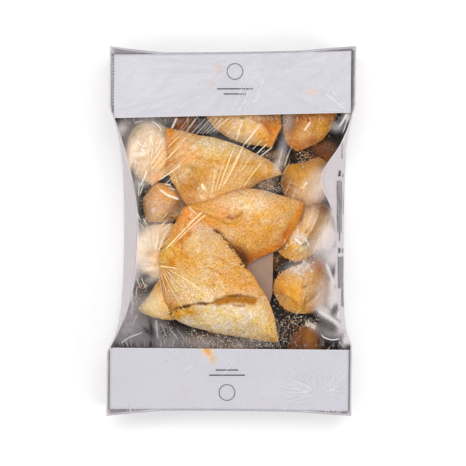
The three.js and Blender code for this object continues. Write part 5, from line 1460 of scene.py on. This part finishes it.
# crumbs of crust, mostly along the folds and by the lower flap
k = 260
cu = np.r_[rng.uniform(170, 285, k // 2), rng.uniform(236, 262, k // 4), rng.uniform(160, 300, k - k // 2 - k // 4)]
cv = np.r_[rng.uniform(322, 346, k // 2), rng.uniform(240, 264, k // 4), rng.uniform(130, 340, k - k // 2 - k // 4)]
for u, v, a, b, share in ((266, 186, 12, 5, 0.52), (302, 155, 9, 4, 0.2), (268, 121, 8, 4, 0.15), (311, 207, 8, 3, 0.12), (277, 264, 4, 9, 0.08), (292, 326, 14, 8, 0.22), (143, 286, 4, 8, 0.08)):
    more = int(k * share)
    cu, cv = np.r_[cu, rng.normal(u, a * 0.6, more)], np.r_[cv, rng.normal(v, b * 0.6, more)]
lying, k = k, len(cu)
p = np.array([px(a, c, 36)[:2] for a, c in zip(cu, cv)])
z, _ = contents_z(*p.T)
r = rng.uniform(0.15, 0.42, k)
stuck = (np.arange(k) >= lying) & (rng.uniform(0, 1, k) < 0.7)
level = np.where(stuck, np.maximum(window_z(*p.T) - r - 0.2, z + r * 0.35), z + r * 0.35)
lumps("crumbs", inside_tray(np.c_[p, level]), r, crumb_mat, "crust", 1, 0.7, rough=0.3, seed=914)

# dark crumbs along the seams where one samosa's edge lies over another: partly burnt crumbs, partly painted shade in
# those crevices
seams = [[(214, 229), (222, 237), (229.5, 245.5), (236.5, 253), (243, 261), (248, 269)], [(240, 262), (248, 268), (256, 263)], [(167, 310), (172, 315), (176, 309), (188, 306)], [(160, 181), (166, 176)]]
rng = np.random.default_rng(931)
dp, dr = [], []
for path, count in zip(seams, (120, 36, 24, 12)):
    q = pxs(path, 42)
    seg = np.r_[0, np.cumsum(np.hypot(*np.diff(q, axis=0).T))]
    at = rng.uniform(0, seg[-1], count // (1))
    c = np.stack([np.interp(at, seg, q[:, 0]), np.interp(at, seg, q[:, 1])], 1) + rng.normal(0, 0.75, (len(at), 2))
    z, _ = contents_z(*c.T)
    r = rng.uniform(0.18, 0.5, len(at))
    dp.append(np.c_[c, z + r * 0.3])
    dr.append(r)
seam_shade_crumb = crumb_material("crumb_burnt_seam_shade", (128, 66, 24), (46, 22, 10))
lumps("crumbs_burnt_seam_shade", inside_tray(np.vstack(dp)), np.concatenate(dr), seam_shade_crumb, "crust", 1, 0.7, rough=0.3, seed=915)

# finer ones that cling to the rims
rng = np.random.default_rng(944)
fp, fr_ = [], []
for name, count, spread in (("samosa_top_left", 90, 0.35), ("samosa_mid_right", 110, 0.35), ("samosa_low_left", 130, 0.35), ("samosa_right_a", 110, 0.7), ("samosa_right_b", 120, 0.8),
                            ("samosa_right_c", 120, 0.8), ("samosa_right_d", 120, 0.8), ("samosa_left_b", 70, 0.6), ("samosa_top_mid", 50, 0.5)):
    sm = next(a for a in SAMOSAS if a.name == name)
    count = count // 1
    base = sm.outline[rng.integers(0, len(sm.outline), count)]
    p = base + (sm.centre - base) / np.hypot(*(sm.centre - base).T)[:, None] * rng.normal(0.15, spread, count)[:, None]
    r = rng.uniform(0.14, 0.3 + 0.25 * spread, count)
    fp.append(np.c_[p, sm.top(p) - 0.1 + rng.uniform(0, 0.35, count)])
    fr_.append(r)
lumps("crumbs_fine", inside_tray(np.vstack(fp)), np.concatenate(fr_), crumb_material("crumb_golden", (240, 180, 92), (178, 100, 34)), "crust", 0, 0.8, seed=917)


# a strip of the board lying between the samosas
def strip():
    m = Nodes("strip_grey")
    n = m.noise(900, 4, 0.6)
    fog = m.noise(160, 3, 0.5)
    c = m.mixc(fog, tuple(lin((170, 140, 120))), tuple(lin((134, 102, 80))))
    c = m.mixc(m.math("MULTIPLY", n, 0.25), c, tuple(lin((188, 168, 158))))
    p = m.new("ShaderNodeBsdfPrincipled", Roughness=0.6)
    p.inputs["Specular IOR Level"].default_value = 0.25
    m.link(c, p.inputs["Base Color"])
    m.link(m.bump(n, 0.3, 0.0003), p.inputs["Normal"])
    m.link(p.outputs[0], m.out.inputs[0])
    corners = [(246, 262), (273.2, 250), (272.6, 292), (270, 303), (250, 288)]
    z = [33.5, 34.5, 30.5, 29.5, 31.5]
    pts = [px(u, v, h) for (u, v), h in zip(corners, z)]
    me = bpy.data.meshes.new("board_strip")
    top = [tuple(q * MM) for q in pts]
    bot = [tuple((q - np.array([0, 0, 0.8])) * MM) for q in pts]
    n5 = len(pts)
    faces = [tuple(range(n5))[::-1], tuple(range(n5, 2 * n5))] + [(i, (i + 1) % n5, n5 + (i + 1) % n5, n5 + i) for i in range(n5)]
    me.from_pydata(top + bot, [], faces)
    me.update()
    ob = bpy.data.objects.new("board_strip", me)
    bpy.context.scene.collection.objects.link(ob)
    b = ob.modifiers.new("soft edge", "BEVEL")
    b.width, b.segments = 0.0002, 2
    me.materials.append(m.mat)
    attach(ob, "root")


strip()


# ---------------------------------------------------------------- plain print marks
def ink():
    m = Nodes("ink_grey")
    n = m.noise(1600, 3, 0.6)
    p = m.new("ShaderNodeBsdfPrincipled", Roughness=0.6)
    p.inputs["Specular IOR Level"].default_value = 0.25
    m.link(m.mixc(n, tuple(lin((26, 24, 30))), tuple(lin((50, 48, 56)))), p.inputs["Base Color"])
    m.link(m.bump(n, 0.2, 0.0001), p.inputs["Normal"])
    m.link(p.outputs[0], m.out.inputs[0])
    return m.mat


def print_marks():
    V, F = [], []

    def quad(fn, a0, a1, b0, b1, steps=1):
        n = len(V)
        for a in np.linspace(a0, a1, steps + 1):
            V.append(fn(a, b0)); V.append(fn(a, b1))
        for i in range(steps):
            F.append((n + 2 * i, n + 2 * i + 1, n + 2 * i + 3, n + 2 * i + 2))

    def wall(y, h):
        x, z = wall_point(WALLS["right"], y, h)
        return (float(x) + 0.08, y, float(z))

    hs = np.linspace(0.12, 0.98, 60)

    def wall_at(u, v):
        """(y, height share) of the outer face's place that shows at a place of the frame."""
        y = np.full(len(hs), (233 - v) * 0.68 + CY)
        for _ in range(4):
            x, z = wall_point(WALLS["right"], y, hs)
            s = 0.70115 * (EYE - z) / EYE
            y = (233 - v) * s + CY
        uu = (x - CX) / s + 233
        k = np.argsort(uu)
        h = float(np.interp(u, uu[k], hs[k]))
        return float(np.interp(h, hs, y)), h

    rng = np.random.default_rng(640)

    def mark(u0, u1, v, tall):
        y, h0 = wall_at(u0, v)
        _, h1 = wall_at(u1, v)
        lo, hi = min(h0, h1), max(h0, h1)
        if hi - lo > 0.01:
            quad(wall, y - tall / 2, y + tall / 2, lo, hi, 1)

    # lines of short bars running along the wall, as small print would look
    for columns, v0, v1 in (((337.5, 339.3, 341.1), 180, 232), ((343.4,), 172, 213), ((338.4, 340.1, 341.8, 343.5), 256, 288), ((341.8, 343.5), 288, 306), ((339.6,), 232, 240), ((348.2,), 333, 339), ((342.0,), 140, 158)):
        for u in columns:
            for a, b in ((-0.56, -0.10), (0.10, 0.56)):
                v = v0 + rng.uniform(0, 1.5)
                while v < v1:
                    L = rng.uniform(0.9, 3.0)
                    end = min(v + L, v1 + 0.5)
                    mark(u + a, u + b, (v + end) / 2, (end - v) * 0.68)
                    v += L + rng.uniform(0.35, 0.8)
    # two plain bold marks over the columns
    for u0, u1, v0, v1 in ((338.4, 340.8, 170.4, 176.2), (342.4, 344.0, 174.4, 177.0), (338.4, 340.4, 248.2, 253.0), (342.0, 344.6, 248.6, 253.0), (345.8, 349.4, 324.4, 329.0)):
        mark(u0, u1, (v0 + v1) / 2, (v1 - v0) * 0.68)

    def ring(c, r0, r1, n=64):
        k = len(V)
        for i in range(n):
            a = 2 * math.pi * i / n
            for r in (r0, r1):
                V.append((c[0] + r * math.cos(a), c[1] + r * math.sin(a), FLAP_Z + 0.07))
        for i in range(n):
            j = (i + 1) % n
            F.append((k + 2 * i, k + 2 * i + 1, k + 2 * j + 1, k + 2 * j))

    def bar(c, w, h):
        k = len(V)
        for sx, sy in ((-1, -1), (1, -1), (1, 1), (-1, 1)):
            V.append((c[0] + sx * w / 2, c[1] + sy * h / 2, FLAP_Z + 0.07))
        F.append((k, k + 1, k + 2, k + 3))

    # a plain ring over two bars on each flap
    for (u, v), d in (((235, 76), 1), ((227, 388), -1)):
        c = px(u, v, 51)
        ring((c[0], c[1] + d * 3.0), 5.0, 5.5)
        bar((c[0], c[1] - d * 8.6), 24, 0.8)
        bar((c[0], c[1] - d * 12.0), 15, 0.8)
    me = bpy.data.meshes.new("print_marks")
    me.from_pydata([tuple(np.array(v) * MM) for v in V], [], F)
    me.update()
    ob = bpy.data.objects.new("print_marks", me)
    bpy.context.scene.collection.objects.link(ob)
    me.materials.append(ink())
    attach(ob, "root")


print_marks()


# ---------------------------------------------------------------- floor, light, camera
def floor_and_light():
    me = bpy.data.meshes.new("floor")
    s = 6.0
    me.from_pydata([(-s, -s, -0.0004), (s, -s, -0.0004), (s, s, -0.0004), (-s, s, -0.0004)], [], [(0, 1, 2, 3)])
    ob = bpy.data.objects.new("floor", me)
    bpy.context.scene.collection.objects.link(ob)
    m = Nodes("floor_white")
    p = m.new("ShaderNodeBsdfPrincipled", Roughness=0.9)
    p.inputs["Base Color"].default_value = (0.845, 0.845, 0.845, 1)
    p.inputs["Specular IOR Level"].default_value = 0.1
    p.inputs["Emission Color"].default_value = (1, 1, 1, 1)
    p.inputs["Emission Strength"].default_value = 0.02
    m.link(p.outputs[0], m.out.inputs[0])
    me.materials.append(m.mat)

    w = bpy.data.worlds.new("studio")
    bpy.context.scene.world = w
    w.use_nodes = True
    w.node_tree.nodes["Background"].inputs["Color"].default_value = (1.0, 1.0, 1.0, 1)
    w.node_tree.nodes["Background"].inputs["Strength"].default_value = 0.85

    def area(name, loc, size, radiance, size_y=None):
        l = bpy.data.lights.new(name, "AREA")
        l.shape = "RECTANGLE"
        l.size = size
        l.size_y = size_y or size
        l.energy = radiance * size * (size_y or size) * math.pi
        o = bpy.data.objects.new(name, l)
        o.location = loc
        o.rotation_euler = (Vector((0, 0, 0.03)) - Vector(loc)).to_track_quat("-Z", "Y").to_euler()
        bpy.context.scene.collection.objects.link(o)

    area("key", (-0.1, 0.31, 1.46), 1.3, 8.7, 0.24)
    area("fill", (0.78, -0.34, 1.15), 0.45, 6.1)
    area("left", (-0.95, -0.10, 1.1), 0.35, 3.2)


floor_and_light()
cam_data = bpy.data.cameras.new("camera")
cam_data.sensor_fit = "HORIZONTAL"
cam_data.angle = 2 * math.atan(SPAN / 2 / EYE)
cam_data.clip_start = 0.01
cam = bpy.data.objects.new("camera", cam_data)
cam.location = (CX * MM, CY * MM, EYE * MM)
cam.rotation_euler = (0, 0, 0)
bpy.context.scene.collection.objects.link(cam)
bpy.context.scene.camera = cam
bpy.context.scene.view_settings.view_transform = "Standard"
